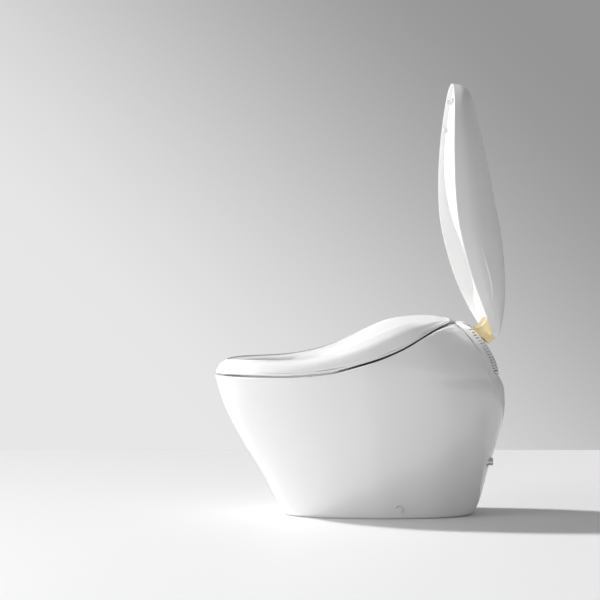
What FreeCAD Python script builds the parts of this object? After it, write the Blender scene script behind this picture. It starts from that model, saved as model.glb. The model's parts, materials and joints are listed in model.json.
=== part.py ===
"""Smart toilet with a heated seat, as an assembly of separate pieces, in millimetres.

Frame: +Z up, the bowl's front faces -Y, the back of the toilet is +Y, and +X is a seated user's left.
The origin is the centre of the drain outlet on the floor.  The lid stands open, as it is seen, and the
seat lies on the rim.  Every swept form is a loft through smooth closed rings that share one spacing.
"""

import FreeCAD
import Part

import math
import os

from FreeCAD import Vector

os.makedirs("parts", exist_ok=True)

# ---------------------------------------------------------------- driving sizes
RIM_Z = 388.0               # rim height at the front
FOOT_ROUND = 9.0            # rounding where the ceramic meets the floor
WALL = 12.0                 # ceramic wall
FRONT_SHARE = 0.55          # share of the plan's length that lies ahead of its widest line

SEAM_GAP = 1.0              # joint between the ceramic and the rear cover
COVER_WALL = 3.0

AXIS_Y = 152.6              # the hinge line that the seat and the lid share
AXIS_Z = 500.3
LID_OPEN = 93.0             # degrees from closed to the pose that is modelled
BARREL_R = 31.0             # central hinge barrel of the lid

# Outlines are (y, z) points that a smooth curve passes through.
FRONT_EDGE = [(-531, 388), (-506, 306), (-456, 207), (-395, 108), (-350.5, 19), (-342, 0)]
BACK_EDGE = [(186, 0), (201, 30), (224, 113), (255, 212), (272, 317), (266, 362), (255.5, 383)]
COVER_EDGE = [(255.5, 383), (251, 411), (237, 444), (201.5, 494), (172, 522), (143.5, 534), (110, 541)]
SIDE_EDGE = [(125, 0), (136, 40), (165, 140), (192, 250), (207, 350), (211.5, 430), (205, 500), (198, 560)]
RIM_CURVE = [(-560, 387), (-531, 388), (-403, 389), (-340, 390), (-276, 395), (-213, 404), (-150, 421),
             (-86, 441), (-22, 468.5), (42, 504), (74, 519), (106, 528), (128, 531)]
SEAM_CURVE = [(128, 531), (149, 508), (177, 475), (204, 433), (232, 398), (262, 380)]

BOWL_FRONT, BOWL_BACK, BOWL_HALF = -470.0, -168.0, 122.0
SUMP_Y, SUMP_Z, SUMP_R = -255.0, 165.0, 42.0


# ---------------------------------------------------------------- helpers
def smooth(points, at):
    """Value of a smooth curve through (value, at) pairs: cubic pieces whose slopes are the mean of their sides'."""
    pts = sorted(((b, a) for a, b in points))
    xs = [p[0] for p in pts]
    ys = [p[1] for p in pts]
    if at <= xs[0]:
        return ys[0]
    if at >= xs[-1]:
        return ys[-1]
    k = max(i for i in range(len(xs) - 1) if xs[i] <= at)
    side = [(ys[i + 1] - ys[i]) / (xs[i + 1] - xs[i]) for i in range(len(xs) - 1)]

    def slope(i):
        if i == 0:
            return side[0]
        if i == len(xs) - 1:
            return side[-1]
        before, after = xs[i] - xs[i - 1], xs[i + 1] - xs[i]
        return (side[i - 1] * after + side[i] * before) / (before + after)

    h = xs[k + 1] - xs[k]
    t = (at - xs[k]) / h
    return ((2 * t**3 - 3 * t**2 + 1) * ys[k] + (t**3 - 2 * t**2 + t) * h * slope(k)
            + (3 * t**2 - 2 * t**3) * ys[k + 1] + (t**3 - t**2) * h * slope(k + 1))


def height_on(points, y):
    """Height of a (y, z) outline above y."""
    return smooth([(z, yy) for yy, z in points], y)


def signed_power(value, power):
    return math.copysign(abs(value) ** power, value)


def closed_wire(points):
    """One smooth closed ring; every ring uses the same even parameters, so lofts stay clean."""
    count = len(points)
    curve = Part.BSplineCurve()
    curve.interpolate(Points=points, PeriodicFlag=True, Parameters=[i / count for i in range(count + 1)])
    return Part.Wire([curve.toShape()])


RING_POINTS = 24
BLUNT_SIDE, BLUNT_FRONT, BLUNT_BACK = 2.2, 1.65, 2.6


def plan_points(front, back, half, share=FRONT_SHARE, blunt_front=BLUNT_FRONT, blunt_back=BLUNT_BACK):
    """Egg-shaped plan outline as (x, y) points: two half super-ellipses that meet on the widest line."""
    length = back - front
    widest = front + share * length
    out = []
    for i in range(RING_POINTS):
        turn = 2 * math.pi * i / RING_POINTS
        c, s = math.cos(turn), math.sin(turn)
        if s >= 0:
            x = half * signed_power(c, 2 / blunt_back)
            y = widest + (back - widest) * s ** (2 / blunt_back)
        else:
            x = half * signed_power(c, 2 / BLUNT_SIDE)
            y = widest - (widest - front) * (-s) ** (2 / blunt_front)
        out.append((x, y))
    return out


def ring(front, back, half, z, **shape):
    return closed_wire([Vector(x, y, z) for x, y in plan_points(front, back, half, **shape)])


def loft(rings):
    """Solid drawn straight from each closed ring to the next."""
    return Part.makeLoft(rings, True, True)


def tube_of_rings(rings):
    """Closed ring-shaped solid whose skin runs through closed rings, from the last back to the first."""
    return Part.Solid(Part.makeLoft(rings, False, True, True).Shells[0])


def facet_form(rings, closed=False, turned=()):
    """Solid skinned with flat triangles through rings of points, for the plain insides of castings and mouldings.

    The steps from ring to ring whose numbers are in turned have their triangles' long sides the other way round.
    """
    faces = []
    pairs = list(zip(rings, rings[1:] + rings[:1])) if closed else list(zip(rings, rings[1:]))
    for step, (lower, upper) in enumerate(pairs):
        for i in range(len(lower)):
            k = (i + 1) % len(lower)
            halves = (lower[i], lower[k], upper[k]), (lower[i], upper[k], upper[i])
            if step in turned:
                halves = (lower[i], lower[k], upper[i]), (lower[k], upper[k], upper[i])
            for corners in halves:
                faces.append(Part.Face(Part.makePolygon(list(corners) + [corners[0]])))
    if not closed:
        faces += [Part.Face(Part.makePolygon(end + end[:1])) for end in (rings[0], rings[-1])]
    shell = Part.Shell(faces)
    shell.sewShape()
    solid = Part.Solid(shell)
    return facet_form(rings[::-1], closed, turned) if solid.Volume < 0 else solid


def box(x0, x1, y0, y1, z0, z1):
    return Part.makeBox(x1 - x0, y1 - y0, z1 - z0, Vector(x0, y0, z0))


def rod(radius, start, end):
    a, b = Vector(*start), Vector(*end)
    return Part.makeCylinder(radius, (b - a).Length, a, b - a)


def spline_edge(points, x=0.0):
    curve = Part.BSplineCurve()
    curve.interpolate(Points=[Vector(x, y, z) for y, z in points])
    return curve.toShape()


def side_profile(edges, half):
    """Solid made by drawing a closed (y, z) outline of edges from -half to +half along X."""
    face = Part.Face(Part.Wire(edges))
    return face.translated(Vector(-half, 0, 0)).extrude(Vector(2 * half, 0, 0))


def line(a, b, x=0.0):
    return Part.makeLine(Vector(x, *a), Vector(x, *b))


def polygon_yz(points, x0, x1):
    wire = Part.makePolygon([Vector(x0, y, z) for y, z in points + points[:1]])
    return Part.Face(wire).extrude(Vector(x1 - x0, 0, 0))


def shift(points, dy, dz):
    return [(y + dy, z + dz) for y, z in points]


def one(shape):
    """The shape as one tidy solid."""
    if shape.ShapeType == "Compound" and len(shape.Solids) == 1:
        return shape.Solids[0]
    return shape


PARTS = {}


def keep(name, shape):
    PARTS[name] = shape
    return shape


# ---------------------------------------------------------------- the ceramic and its rear cover
LEVELS = (9, 50, 110, 170, 226, 275, 317, 352, 383, 411, 444, 472, 494, 512, 527, 541)


def outline_at(z):
    """Front, back and half-width of the toilet's outside at height z."""
    front = smooth(FRONT_EDGE, z) - 12 * min(1.0, max(0.0, z - RIM_Z) / 40)
    seam_z = BACK_EDGE[-1][1]
    back = smooth(BACK_EDGE, z) if z <= seam_z else smooth(COVER_EDGE, z)
    return front, back, smooth(SIDE_EDGE, z)


def envelope(inset=0.0, levels=LEVELS, foot=True):
    """Outside of the ceramic and the rear cover in one form, drawn in by inset."""
    rings = []
    if foot:
        for rise, tuck in ((0.0, FOOT_ROUND), (0.3 * FOOT_ROUND, 0.3 * FOOT_ROUND)):
            front, back, half = outline_at(rise)
            rings.append(ring(front + inset + tuck, back - inset - tuck, half - inset - tuck, rise))
    for z in levels:
        front, back, half = outline_at(z)
        rings.append(ring(front + inset, back - inset, half - inset, z))
    return loft(rings)


def above_rim(lift=0.0, half=400.0):
    """Everything above the rim's S-curve, raised by lift, ahead of its rear crest."""
    curve = shift(RIM_CURVE, 0, lift)
    start, end = curve[0], curve[-1]
    edges = [spline_edge(curve), line(end, (end[0], SKY)), line((end[0], SKY), (start[0], SKY)),
             line((start[0], SKY), start)]
    return side_profile(edges, half)


def behind_seam(back=0.0, half=400.0):
    """Everything behind and above the joint that the rear cover sits on, moved back by back."""
    curve = shift(SEAM_CURVE, back, 0)
    start, end = curve[0], curve[-1]
    far = end[0] + 150
    edges = [spline_edge(curve), line(end, (far, end[1])), line((far, end[1]), (far, SKY)),
             line((far, SKY), (start[0], SKY)), line((start[0], SKY), start)]
    return side_profile(edges, half)


def few_sided(front, back, half, z, sides=12, **shape):
    """Points of a plain ring of straight sides."""
    step = RING_POINTS // sides
    return [Vector(x, y, z) for x, y in plan_points(front, back, half, **shape)][::step]


def inner_form(inset, levels, sides=12):
    rings = []
    for z in levels:
        front, back, half = outline_at(z)
        rings.append(few_sided(front + inset, back - inset, half - inset, z, sides=sides))
    return facet_form(rings)


def rounded_path(points, bends, turn=22.5):
    """(y, z) points along straight runs joined by tangent arcs, with the direction at each."""
    pts = [Vector(0, y, z) for y, z in points]
    out = [(pts[0], (pts[1] - pts[0]).normalize())]
    for i, bend in enumerate(bends, start=1):
        before = (pts[i - 1] - pts[i]).normalize()
        after = (pts[i + 1] - pts[i]).normalize()
        half_angle = math.acos(before.dot(after)) / 2
        centre = pts[i] + (before + after).normalize() * (bend / math.sin(half_angle))
        start = pts[i] + before * (bend / math.tan(half_angle)) - centre
        total = math.pi - 2 * half_angle
        axis = (before * -1).cross(after)
        steps = max(2, math.ceil(math.degrees(total) / turn))
        for k in range(steps + 1):
            spin = FreeCAD.Rotation(axis, math.degrees(total) * k / steps)
            out.append((centre + spin.multVec(start), spin.multVec(before * -1)))
    out.append((pts[-1], (pts[-1] - pts[-2]).normalize()))
    return out


def pipe(points, radius, bends, sides=12, x=0.0):
    """Bar of many straight sides along a path in the y-z plane."""
    rings = []
    for centre, ahead in rounded_path(points, bends):
        up = Vector(1, 0, 0).cross(ahead)
        spokes = [2 * math.pi * k / sides for k in range(sides)]
        rings.append([centre + Vector(x + radius * math.cos(t), 0, 0) + up * (radius * math.sin(t)) for t in spokes])
    return facet_form(rings)


BOWL_RINGS = ((BOWL_FRONT - 3, BOWL_BACK + 2, BOWL_HALF + 1, 445), (BOWL_FRONT, BOWL_BACK, BOWL_HALF, 385),
              (-464, -174, 118, 330), (-445, -184, 106, 275), (-408, -196, 86, 228), (-352, -206, 62, 190),
              (-306, -214, 42, 160))
SKY = 900.0


def bowl_form(grow):
    """The bowl's inside, or with grow its outside."""
    rings = []
    for front, back, half, z in BOWL_RINGS:
        rings.append(few_sided(front - grow, back + grow, half + grow, z - 0.8 * grow, sides=24, share=0.5))
    return facet_form(rings)


def ceramic():
    outside = envelope().cut(above_rim()).cut(behind_seam())
    hollow = inner_form(WALL, (-1, 60, 165, 265, 345))
    hollow = hollow.cut(box(-300, 300, POCKET_FRONT - WALL, 400, POCKET_FLOOR - WALL, 400))
    hollow = hollow.cut(bowl_form(WALL)).cut(pipe(TRAP_PATH, TRAP_R + 9, TRAP_BENDS))
    pocket = inner_form(POCKET_WALL, (200, 300, 350, 383, 424, 472, 512, 541), sides=24)
    pocket = pocket.common(box(-300, 300, POCKET_FRONT, 400, POCKET_FLOOR, 700))
    body = outside.cut(hollow).cut(pocket).cut(bowl_form(0)).cut(pipe(TRAP_PATH, TRAP_R, TRAP_BENDS))
    body = body.cut(box(-NOTCH_HALF, NOTCH_HALF, BOWL_BACK - 40, POCKET_FRONT + 5, NOTCH_FLOOR, 700))
    for side in (-1, 1):
        body = body.cut(rod(SIDE_HOLE_R, (side * 90, SIDE_Y, SIDE_Z), (side * 160, SIDE_Y, SIDE_Z)))
        body = body.cut(rod(CAP_R + 0.3, (side * CAP_SEAT, SIDE_Y, SIDE_Z), (side * 160, SIDE_Y, SIDE_Z)))
    body = body.cut(box(-WINDOW_HALF - 1, WINDOW_HALF + 1, 112, 300, 500, 700))
    body = body.cut(rod(9.1, (85, -330, 356), (124.1, -330, 356)))
    body = body.cut(rod(INLET_HOLE_R, (INLET_X, 150, INLET_Z), (INLET_X, 300, INLET_Z)))
    return body


POCKET_FRONT, POCKET_FLOOR, POCKET_WALL = -118.0, 262.0, 14.0
NOTCH_HALF, NOTCH_FLOOR = 78.0, 376.0
TRAP_R = 27.0
TRAP_PATH = [(-300, 178), (-216, 92), (-122, 226), (0, 226), (0, 26)]
TRAP_BENDS = [34, 46, 60]
SIDE_Y, SIDE_Z, SIDE_HOLE_R = -30.0, 28.0, 8.0
CAP_R, CAP_SEAT = 11.0, 130.0
INLET_X, INLET_Z, INLET_HOLE_R = 70.0, 150.0, 16.3

WINDOW_HALF = 66.0          # opening of the rear cover ahead of the hinge line, for the seat's arms
BARREL_WINDOW = 47.5        # and behind it, round the lid's barrel and bracket
HUB_ROOM_R = 21.0
ARM_SWING = 31.0            # how far behind the hinge line the raised seat's arms reach


def rear_cover():
    outside = envelope().common(behind_seam(SEAM_GAP))
    inside = inner_form(COVER_WALL, (330, 370, 400, 448, 494, 512, 527, 537), sides=24)
    shell = outside.cut(inside)
    barrel = rod(BARREL_R + 2.0, (-BARREL_WINDOW, AXIS_Y, AXIS_Z), (BARREL_WINDOW, AXIS_Y, AXIS_Z))
    hubs = rod(HUB_ROOM_R, (-WINDOW_HALF, AXIS_Y, AXIS_Z), (WINDOW_HALF, AXIS_Y, AXIS_Z))
    ahead = box(-WINDOW_HALF, WINDOW_HALF, 100, AXIS_Y + ARM_SWING, AXIS_Z - 14, 600)
    behind = box(-BARREL_WINDOW, BARREL_WINDOW, 100, 230, AXIS_Z - 14, 600)
    return shell.cut(barrel).cut(hubs).cut(ahead).cut(behind)


# ---------------------------------------------------------------- the seat
SEAT_FRONT, SEAT_BACK, SEAT_HALF, SEAT_SHARE = -526.5, 117.0, 205.0, 0.66
HOLE_FRONT, HOLE_BACK, HOLE_HALF = -452.0, -164.0, 105.0
SEAT_GAP = 6.0              # from the rim to the underside of the seat
SEAT_WALL = 3.0
BASE_DEPTH = 6.0            # depth of the seat's bottom plate
SHOULDER = [(-560, 15), (-440, 18), (-204, 25), (-81, 21), (42, 17), (120, 5)]      # above the underside
SEAT_CREST = [(-560, 424), (-524, 425), (-483, 430), (-417, 432), (-328, 434), (-284, 439), (-240, 447),
              (-196, 460), (-152, 476), (-108, 495), (-63.5, 517), (-19, 532), (25, 541), (69, 546), (91, 546),
              (113, 541), (125, 536)]


def underside(y):
    return height_on(RIM_CURVE, y) + SEAT_GAP


def seat_ring(share, height):
    """Ring at a height worked out from y: share of the way from the hole to the outside, or in from the outside."""
    if share > 1:
        tuck = share - 1
        outline = plan_points(SEAT_FRONT + tuck, SEAT_BACK - tuck, SEAT_HALF - tuck, share=SEAT_SHARE)
        return [Vector(x, y, height(y)) for x, y in outline]
    outer = plan_points(SEAT_FRONT, SEAT_BACK, SEAT_HALF, share=SEAT_SHARE)
    inner = plan_points(HOLE_FRONT, HOLE_BACK, HOLE_HALF, share=0.5)
    places = [(xi + (xo - xi) * share, yi + (yo - yi) * share) for (xo, yo), (xi, yi) in zip(outer, inner)]
    return [Vector(x, y, height(y)) for x, y in places]


def inward(millimetres):
    """Marks a place that many millimetres in from the seat's outside."""
    return 1 + millimetres


def shoulder_z(y, drop=0.0):
    return underside(y) + height_on(SHOULDER, y) - drop


def crest_z(y, down=0.0):
    return max(height_on(SEAT_CREST, y) - down, underside(y) + 7.0)


SEAT_CUT_Z = 370.0          # a level below the whole seat, where its plain underside is cut from

SEAT_SECTION = (
    (inward(2.0), lambda y: SEAT_CUT_Z),
    (inward(0.001), lambda y: underside(y) + 4),
    (inward(3.0), lambda y: shoulder_z(y, 4)),
    (inward(10.0), lambda y: 0.45 * shoulder_z(y) + 0.55 * crest_z(y, 3)),
    (inward(24.0), lambda y: crest_z(y, 1)),
    (0.62, lambda y: crest_z(y)),
    (0.34, lambda y: crest_z(y, 3)),
    (0.12, lambda y: crest_z(y, 9)),
    (0.0, lambda y: 0.5 * (underside(y) + crest_z(y, 12))),
    (0.0, lambda y: SEAT_CUT_Z),
)


def seat_form():
    return tube_of_rings([closed_wire(seat_ring(share, height)) for share, height in SEAT_SECTION])


def seat_hollow():
    """Inside of the seat: the same section drawn in by the wall."""
    wall = SEAT_WALL
    section = ((inward(wall + 2), lambda y: SEAT_CUT_Z), (inward(wall + 3), lambda y: shoulder_z(y, 5)),
               (inward(24.0), lambda y: crest_z(y, 1 + wall)), (0.60, lambda y: crest_z(y, wall)),
               (0.16, lambda y: crest_z(y, 9 + wall)), (0.05, lambda y: SEAT_CUT_Z))
    return facet_form([seat_ring(share, height) for share, height in section], closed=True)


def below_plate(lift):
    """Everything lower than lift above the rim's S-curve."""
    curve = shift(RIM_CURVE, 0, lift)
    start, end = curve[0], curve[-1]
    edges = [spline_edge(curve), line(end, (end[0], 0)), line((end[0], 0), (start[0], 0)), line((start[0], 0), start)]
    return side_profile(edges, 400)


# ---------------------------------------------------------------- the lid, drawn closed
LID_FRONT, LID_BACK, LID_HALF, LID_SHARE = -535.0, 160.0, 210.0, 0.62
LID_WALL = 4.0
LID_MIDDLE = Vector(0, -185, 0)
LID_RIM = [(-545, 436), (-528, 434.7), (-462, 432.7), (-379, 431.6), (-296, 433.8), (-214, 439.7), (-132, 455.5),
           (-50, 479), (31, 512.5), (112, 554), (144, 573), (165, 585)]
LID_RISE = [(-535, 92), (-507, 90), (-466, 84), (-384, 96), (-302, 111), (-220, 122), (-138, 127), (-56, 120),
            (26, 101), (109, 71), (160, 50)]
LID_SHELL = ((1.0, -60), (1.0, 0.0), (0.985, 0.34), (0.955, 0.50), (0.90, 0.655), (0.82, 0.80), (0.70, 0.905),
             (0.52, 0.975), (0.30, 1.0), (0.10, 1.0))


def crown_z(y):
    """Height of the closed lid's crown over the centre line."""
    return height_on(LID_RIM, y) + height_on(LID_RISE, y)


crown_slope = (crown_z(LID_MIDDLE.y + 20) - crown_z(LID_MIDDLE.y - 20)) / 40


def lid_ring(share, rise, inset=0.0, down=0.0, sides=0):
    outline = plan_points(LID_FRONT + inset, LID_BACK - inset, LID_HALF - inset, share=LID_SHARE)
    points = []
    for x, y in outline:
        x, y = x * share, LID_MIDDLE.y + (y - LID_MIDDLE.y) * share
        if rise < 0:
            z = FLOOR_OF_LID
        else:
            z = height_on(LID_RIM, y) + height_on(LID_RISE, y) * rise - down
        points.append(Vector(x, y, z))
    if share == LID_SHELL[-1][0]:
        points = [Vector(p.x, p.y, crown_z(LID_MIDDLE.y) - down + crown_slope * (p.y - LID_MIDDLE.y)) for p in points]
    if sides:
        return points[::RING_POINTS // sides]
    return closed_wire(points)


FLOOR_OF_LID = 380.0


def lid_form():
    return loft([lid_ring(share, rise) for share, rise in LID_SHELL])


def lid_hollow(wall):
    levels = LID_SHELL[:1] + LID_SHELL[1:-1:2] + LID_SHELL[-1:]
    return facet_form([lid_ring(share, rise, inset=wall, down=wall, sides=24) for share, rise in levels])


def under_lid(lift=0.0):
    curve = shift(LID_RIM, 0, lift)
    start, end = (curve[0][0] - 20, curve[0][1]), (curve[-1][0] + 20, curve[-1][1])
    curve = [start] + curve + [end]
    edges = [spline_edge(curve), line(end, (end[0], 0)), line((end[0], 0), (start[0], 0)), line((start[0], 0), start)]
    return side_profile(edges, 400)


def opened(shape):
    """The lid's pieces, turned from closed to open about the hinge line."""
    return shape.rotated(Vector(0, AXIS_Y, AXIS_Z), Vector(1, 0, 0), -LID_OPEN)


# ---------------------------------------------------------------- lid pieces
PANEL_CURVE = [(-545, 449), (-520, 447), (-462, 445), (-379, 444), (-328, 446), (-284, 451), (-240, 458), (-196, 470),
               (-152, 487), (-108, 505), (-63, 526), (-19, 541), (25, 551), (69, 556), (112, 567), (144, 585), (165, 597)]
PANEL_THICK = 3.0
BRACKET_HALF, BARREL_HALF = 38.0, 44.0
SHAFT_R, RUNNING = 6.0, 0.05
PAD_PLACES = ((52, -486), (116, -410))


def slab(curve, low, high):
    """Solid between two copies of a (y, z) curve, one low and one high above it."""
    bottom, top = shift(curve, 0, low), shift(curve, 0, high)
    edges = [spline_edge(bottom), line(bottom[-1], top[-1]), spline_edge(top), line(top[0], bottom[0])]
    return side_profile(edges, 400)


def make_lid():
    form = lid_form()
    shell = form.cut(lid_hollow(LID_WALL)).cut(under_lid())
    panel = lid_hollow(LID_WALL + 0.3).common(slab(PANEL_CURVE, 0, PANEL_THICK))
    keep("lid_outer_shell", opened(shell))
    keep("lid_inner_panel", opened(panel))
    pads = [box(s * x - 9, s * x + 9, y - 6, y + 6, height_on(SEAT_CREST, y) + 1.5, height_on(PANEL_CURVE, y) - 0.4)
            for x, y in PAD_PLACES for s in (-1, 1)]
    keep("lid_buffers", opened(Part.makeCompound(pads)))
    arm = [(178, 513), (203, 521), (222, 549), (234, 545), (247, 491), (224, 472), (208, 490), (176, 489)]
    arm = polygon_yz(arm, -BRACKET_HALF, BRACKET_HALF)
    barrel = rod(BARREL_R, (-BARREL_HALF, AXIS_Y, AXIS_Z), (BARREL_HALF, AXIS_Y, AXIS_Z))
    bore = rod(SHAFT_R, (-200, AXIS_Y, AXIS_Z), (200, AXIS_Y, AXIS_Z))
    solid_lid = opened(form.cut(under_lid(-0.3)))
    keep("lid_hinge_bracket", arm.cut(barrel).cut(solid_lid))
    keep("lid_hinge_barrel", barrel.cut(bore))
    keep("hinge_shaft", rod(SHAFT_R, (-SEAT_ARM_OUT, AXIS_Y, AXIS_Z), (DRIVE_IN + 16, AXIS_Y, AXIS_Z)))


# ---------------------------------------------------------------- seat pieces
SEAT_ARM_IN, SEAT_ARM_OUT, DRIVE_IN, DRIVE_OUT = 46.0, 63.0, 68.0, 90.0
SEAT_HUB_R, STUB_R = 19.0, 9.0
BUFFER_PLACES = ((38, -505), (166, -190))
FILM_GAP, FILM_THICK = 0.3, 0.8


def make_seat():
    form = seat_form()
    plate_top = SEAT_GAP + BASE_DEPTH
    keep("seat_top_shell", form.cut(seat_hollow()).cut(below_plate(plate_top)))
    inner = facet_form([few_sided(HOLE_FRONT - 8, HOLE_BACK + 8, HOLE_HALF + 8, z, sides=24, share=0.5)
                        for z in (300, 700)])
    outer = facet_form([few_sided(SEAT_FRONT + 14, SEAT_BACK - 10, SEAT_HALF - 14, z, sides=24, share=SEAT_SHARE)
                        for z in (300, 700)])
    base = form.common(slab(RIM_CURVE, SEAT_GAP, plate_top - 0.2))
    pan = outer.cut(inner).common(slab(RIM_CURVE, SEAT_GAP + 3, plate_top + 1))
    keep("seat_base_plate", base.cut(pan))
    low, high = SEAT_WALL + FILM_GAP + FILM_THICK, SEAT_WALL + FILM_GAP
    film = [seat_ring(0.60, lambda y: crest_z(y, high)), seat_ring(0.16, lambda y: crest_z(y, 9 + high)),
            seat_ring(0.16, lambda y: crest_z(y, 9 + low)), seat_ring(0.60, lambda y: crest_z(y, low))]
    keep("seat_heater_film", facet_form(film, closed=True, turned=(2,)))
    feet = [box(s * x - 13, s * x + 13, y - 6, y + 6, 300, 700).common(slab(RIM_CURVE, 0.3, SEAT_GAP - 0.1))
            for x, y in BUFFER_PLACES for s in (-1, 1)]
    keep("seat_buffers", Part.makeCompound([one(f) for f in feet]))
    for name, side in (("seat_hinge_arm_left", 1), ("seat_hinge_arm_right", -1)):
        low, high = sorted((side * SEAT_ARM_IN, side * SEAT_ARM_OUT))
        tongue = slab(RIM_CURVE, 0.8, SEAT_GAP - 0.2).common(box(low, high, 58, 118, 400, 600))
        link = polygon_yz([(116, 530.8), (116, 535.0), (124, 536), (141, 524), (152, 518), (146, 506), (136, 505)], low, high)
        hub = rod(SEAT_HUB_R, (low, AXIS_Y, AXIS_Z), (high, AXIS_Y, AXIS_Z))
        arm = tongue.fuse(link).fuse(hub).removeSplitter()
        arm = arm.cut(rod(SHAFT_R + RUNNING, (low - 1, AXIS_Y, AXIS_Z), (high + 1, AXIS_Y, AXIS_Z)))
        if side < 0:
            stub = rod(STUB_R, (low - 18, AXIS_Y, AXIS_Z), (low + 0.5, AXIS_Y, AXIS_Z))
            arm = arm.fuse(stub.cut(rod(SHAFT_R + RUNNING, (low - 0.01, AXIS_Y, AXIS_Z), (high, AXIS_Y, AXIS_Z))))
        keep(name, arm)


# ---------------------------------------------------------------- the unit in the rear pocket
BASE_TOP, BASE_THICK = 343.0, 3.0
DECK_BACK = 117.0
NOSE_HALF, NOSE_FRONT, NOSE_FLOOR, NOSE_WALL = 74.0, -158.0, 387.0, 3.0
DOOR_HALF, DOOR_LOW, DOOR_HIGH = 20.0, 390.5, 411.0
RACK_SLOT = 3.8             # half width of the gap in the sill that the wand's rack passes through
AIR_LEFT, AIR_RIGHT = 32.0, 64.0
FLAP_T, FLAP_CLEAR, HINGE_PIN_R = 2.0, 0.4, 1.2
WAND_R, WAND_LENGTH, WAND_TRAVEL, WAND_TILT = 8.0, 150.0, 95.0, 18.0
TIP_Y0, TIP_Z0, TIP_LENGTH = -134.0, 407.0, 22.0
TOOTH_MODULE, PINION_TEETH, RACK_DROP, BACKLASH = 1.5, 16, 12.0, 0.25
PINION_AT = 48.0            # how far behind the wand's tip the pinion meets the rack
FAN_Y, FAN_Z, FAN_R = 0.0, 379.0, 34.0


def on_wand(shape):
    """From the wand's own frame (x across, y back along it, z above it) to the toilet's."""
    shape = shape.rotated(Vector(0, 0, 0), Vector(1, 0, 0), WAND_TILT)
    return shape.translated(Vector(0, TIP_Y0, TIP_Z0))


def gear(module, teeth, width, bore):
    """Spur gear on the X axis with straight-flanked teeth, a tooth pointing along +Z."""
    pitch_r = module * teeth / 2
    points = []
    for i in range(teeth):
        centre = 2 * math.pi * i / teeth
        for radius, half_width in ((pitch_r - 1.2 * module, 1.05), (pitch_r, 0.785), (pitch_r + 0.9 * module, 0.42)):
            half = half_width * module - BACKLASH / 2
            points.append((centre - half / radius, radius))
        for radius, half_width in ((pitch_r + 0.9 * module, 0.42), (pitch_r, 0.785), (pitch_r - 1.2 * module, 1.05)):
            half = half_width * module - BACKLASH / 2
            points.append((centre + half / radius, radius))
    corners = [Vector(0, r * math.sin(a), r * math.cos(a)) for a, r in points]
    body = Part.Face(Part.makePolygon(corners + corners[:1])).extrude(Vector(width, 0, 0))
    return body.translated(Vector(-width / 2, 0, 0)).cut(rod(bore, (-width, 0, 0), (width, 0, 0)))


def rack(module, start, end, phase, width, pitch_z, top_z):
    """Straight rack under the wand; a gap is centred on y = phase."""
    pitch = math.pi * module
    first = math.ceil((start - phase) / pitch)
    last = math.floor((end - phase) / pitch) - 1
    points = [(phase + first * pitch, top_z)]
    for i in range(first, last + 1):
        centre = phase + (i + 0.5) * pitch
        for z, half_width in ((pitch_z + 1.2 * module, 1.2), (pitch_z, 0.785), (pitch_z - 0.9 * module, 0.42)):
            points.append((centre - half_width * module + BACKLASH / 2, z))
        for z, half_width in ((pitch_z - 0.9 * module, 0.42), (pitch_z, 0.785), (pitch_z + 1.2 * module, 1.2)):
            points.append((centre + half_width * module - BACKLASH / 2, z))
    points.append((phase + (last + 1) * pitch, top_z))
    return polygon_yz(points, -width / 2, width / 2)


def make_wand():
    body = rod(WAND_R, (0, TIP_LENGTH, 0), (0, WAND_LENGTH, 0))
    teeth = rack(TOOTH_MODULE, 40.0, WAND_LENGTH, PINION_AT, 6.0, -RACK_DROP, -WAND_R + 2.5)
    keep("wash_wand", on_wand(one(body.fuse(teeth).removeSplitter())))
    tip = rod(WAND_R, (0, 0, 0), (0, TIP_LENGTH, 0))
    for y in (6.0, 12.0):
        tip = tip.cut(rod(1.0, (0, y, 2), (0, y, WAND_R + 2)))
    keep("wand_tip", on_wand(tip))
    plate = box(-DOOR_HALF - 1, DOOR_HALF + 1, NOSE_FRONT - 2.5, NOSE_FRONT - 0.5, DOOR_LOW - 1.3, DOOR_HIGH + 1.2)
    plate = plate.makeFillet(4, [e for e in plate.Edges if abs(e.BoundBox.YLength - 2) < 0.01])
    reach = (TIP_Y0 - NOSE_FRONT + 1.5) / math.cos(math.radians(WAND_TILT))
    neck = on_wand(rod(3.0, (0, -reach, 0), (0, 0, 0)))
    keep("wand_shutter", one(plate.fuse(neck).removeSplitter()))
    pinion = gear(TOOTH_MODULE, PINION_TEETH, 6.0, 2.0)
    drop = -RACK_DROP - TOOTH_MODULE * PINION_TEETH / 2
    keep("drive_pinion", on_wand(pinion.translated(Vector(0, PINION_AT, drop))))
    keep("pinion_shaft", on_wand(rod(2.0, (-3.5, PINION_AT, drop), (7.5, PINION_AT, drop))))
    motor = rod(11.5, (5.0, PINION_AT, drop), (27.0, PINION_AT, drop)).cut(
        rod(2.0 + RUNNING, (4.0, PINION_AT, drop), (7.6, PINION_AT, drop)))
    keep("wand_motor", on_wand(motor))
    guide = box(-13, 13, 14, 152, -10, 10.5)
    guide = guide.cut(rod(WAND_R + 0.1, (0, 0, 0), (0, 160, 0))).cut(box(-3.4, 3.4, 0, 160, -20, -5))
    plate = box(-13, 13, 152.3, 155, -16, 10.5)
    rib = box(5.5, 13, 44, 52, -12.45, -9.9)
    guide = on_wand(guide.fuse(plate.translated(Vector(0, -0.3, 0))).fuse(rib))
    posts = [box(x, x + 5, y, y + 12, BASE_TOP, 460) for x in (-12.5, 7.5) for y in (-66, -35)]
    above = on_wand(box(-40, 40, -50, 260, -9.9, 200))
    for post in posts:
        guide = guide.fuse(post.cut(above).cut(on_wand(rod(13.9, (-40, PINION_AT, drop), (40, PINION_AT, drop)))))
    keep("wand_guide", one(guide.removeSplitter()))


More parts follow.
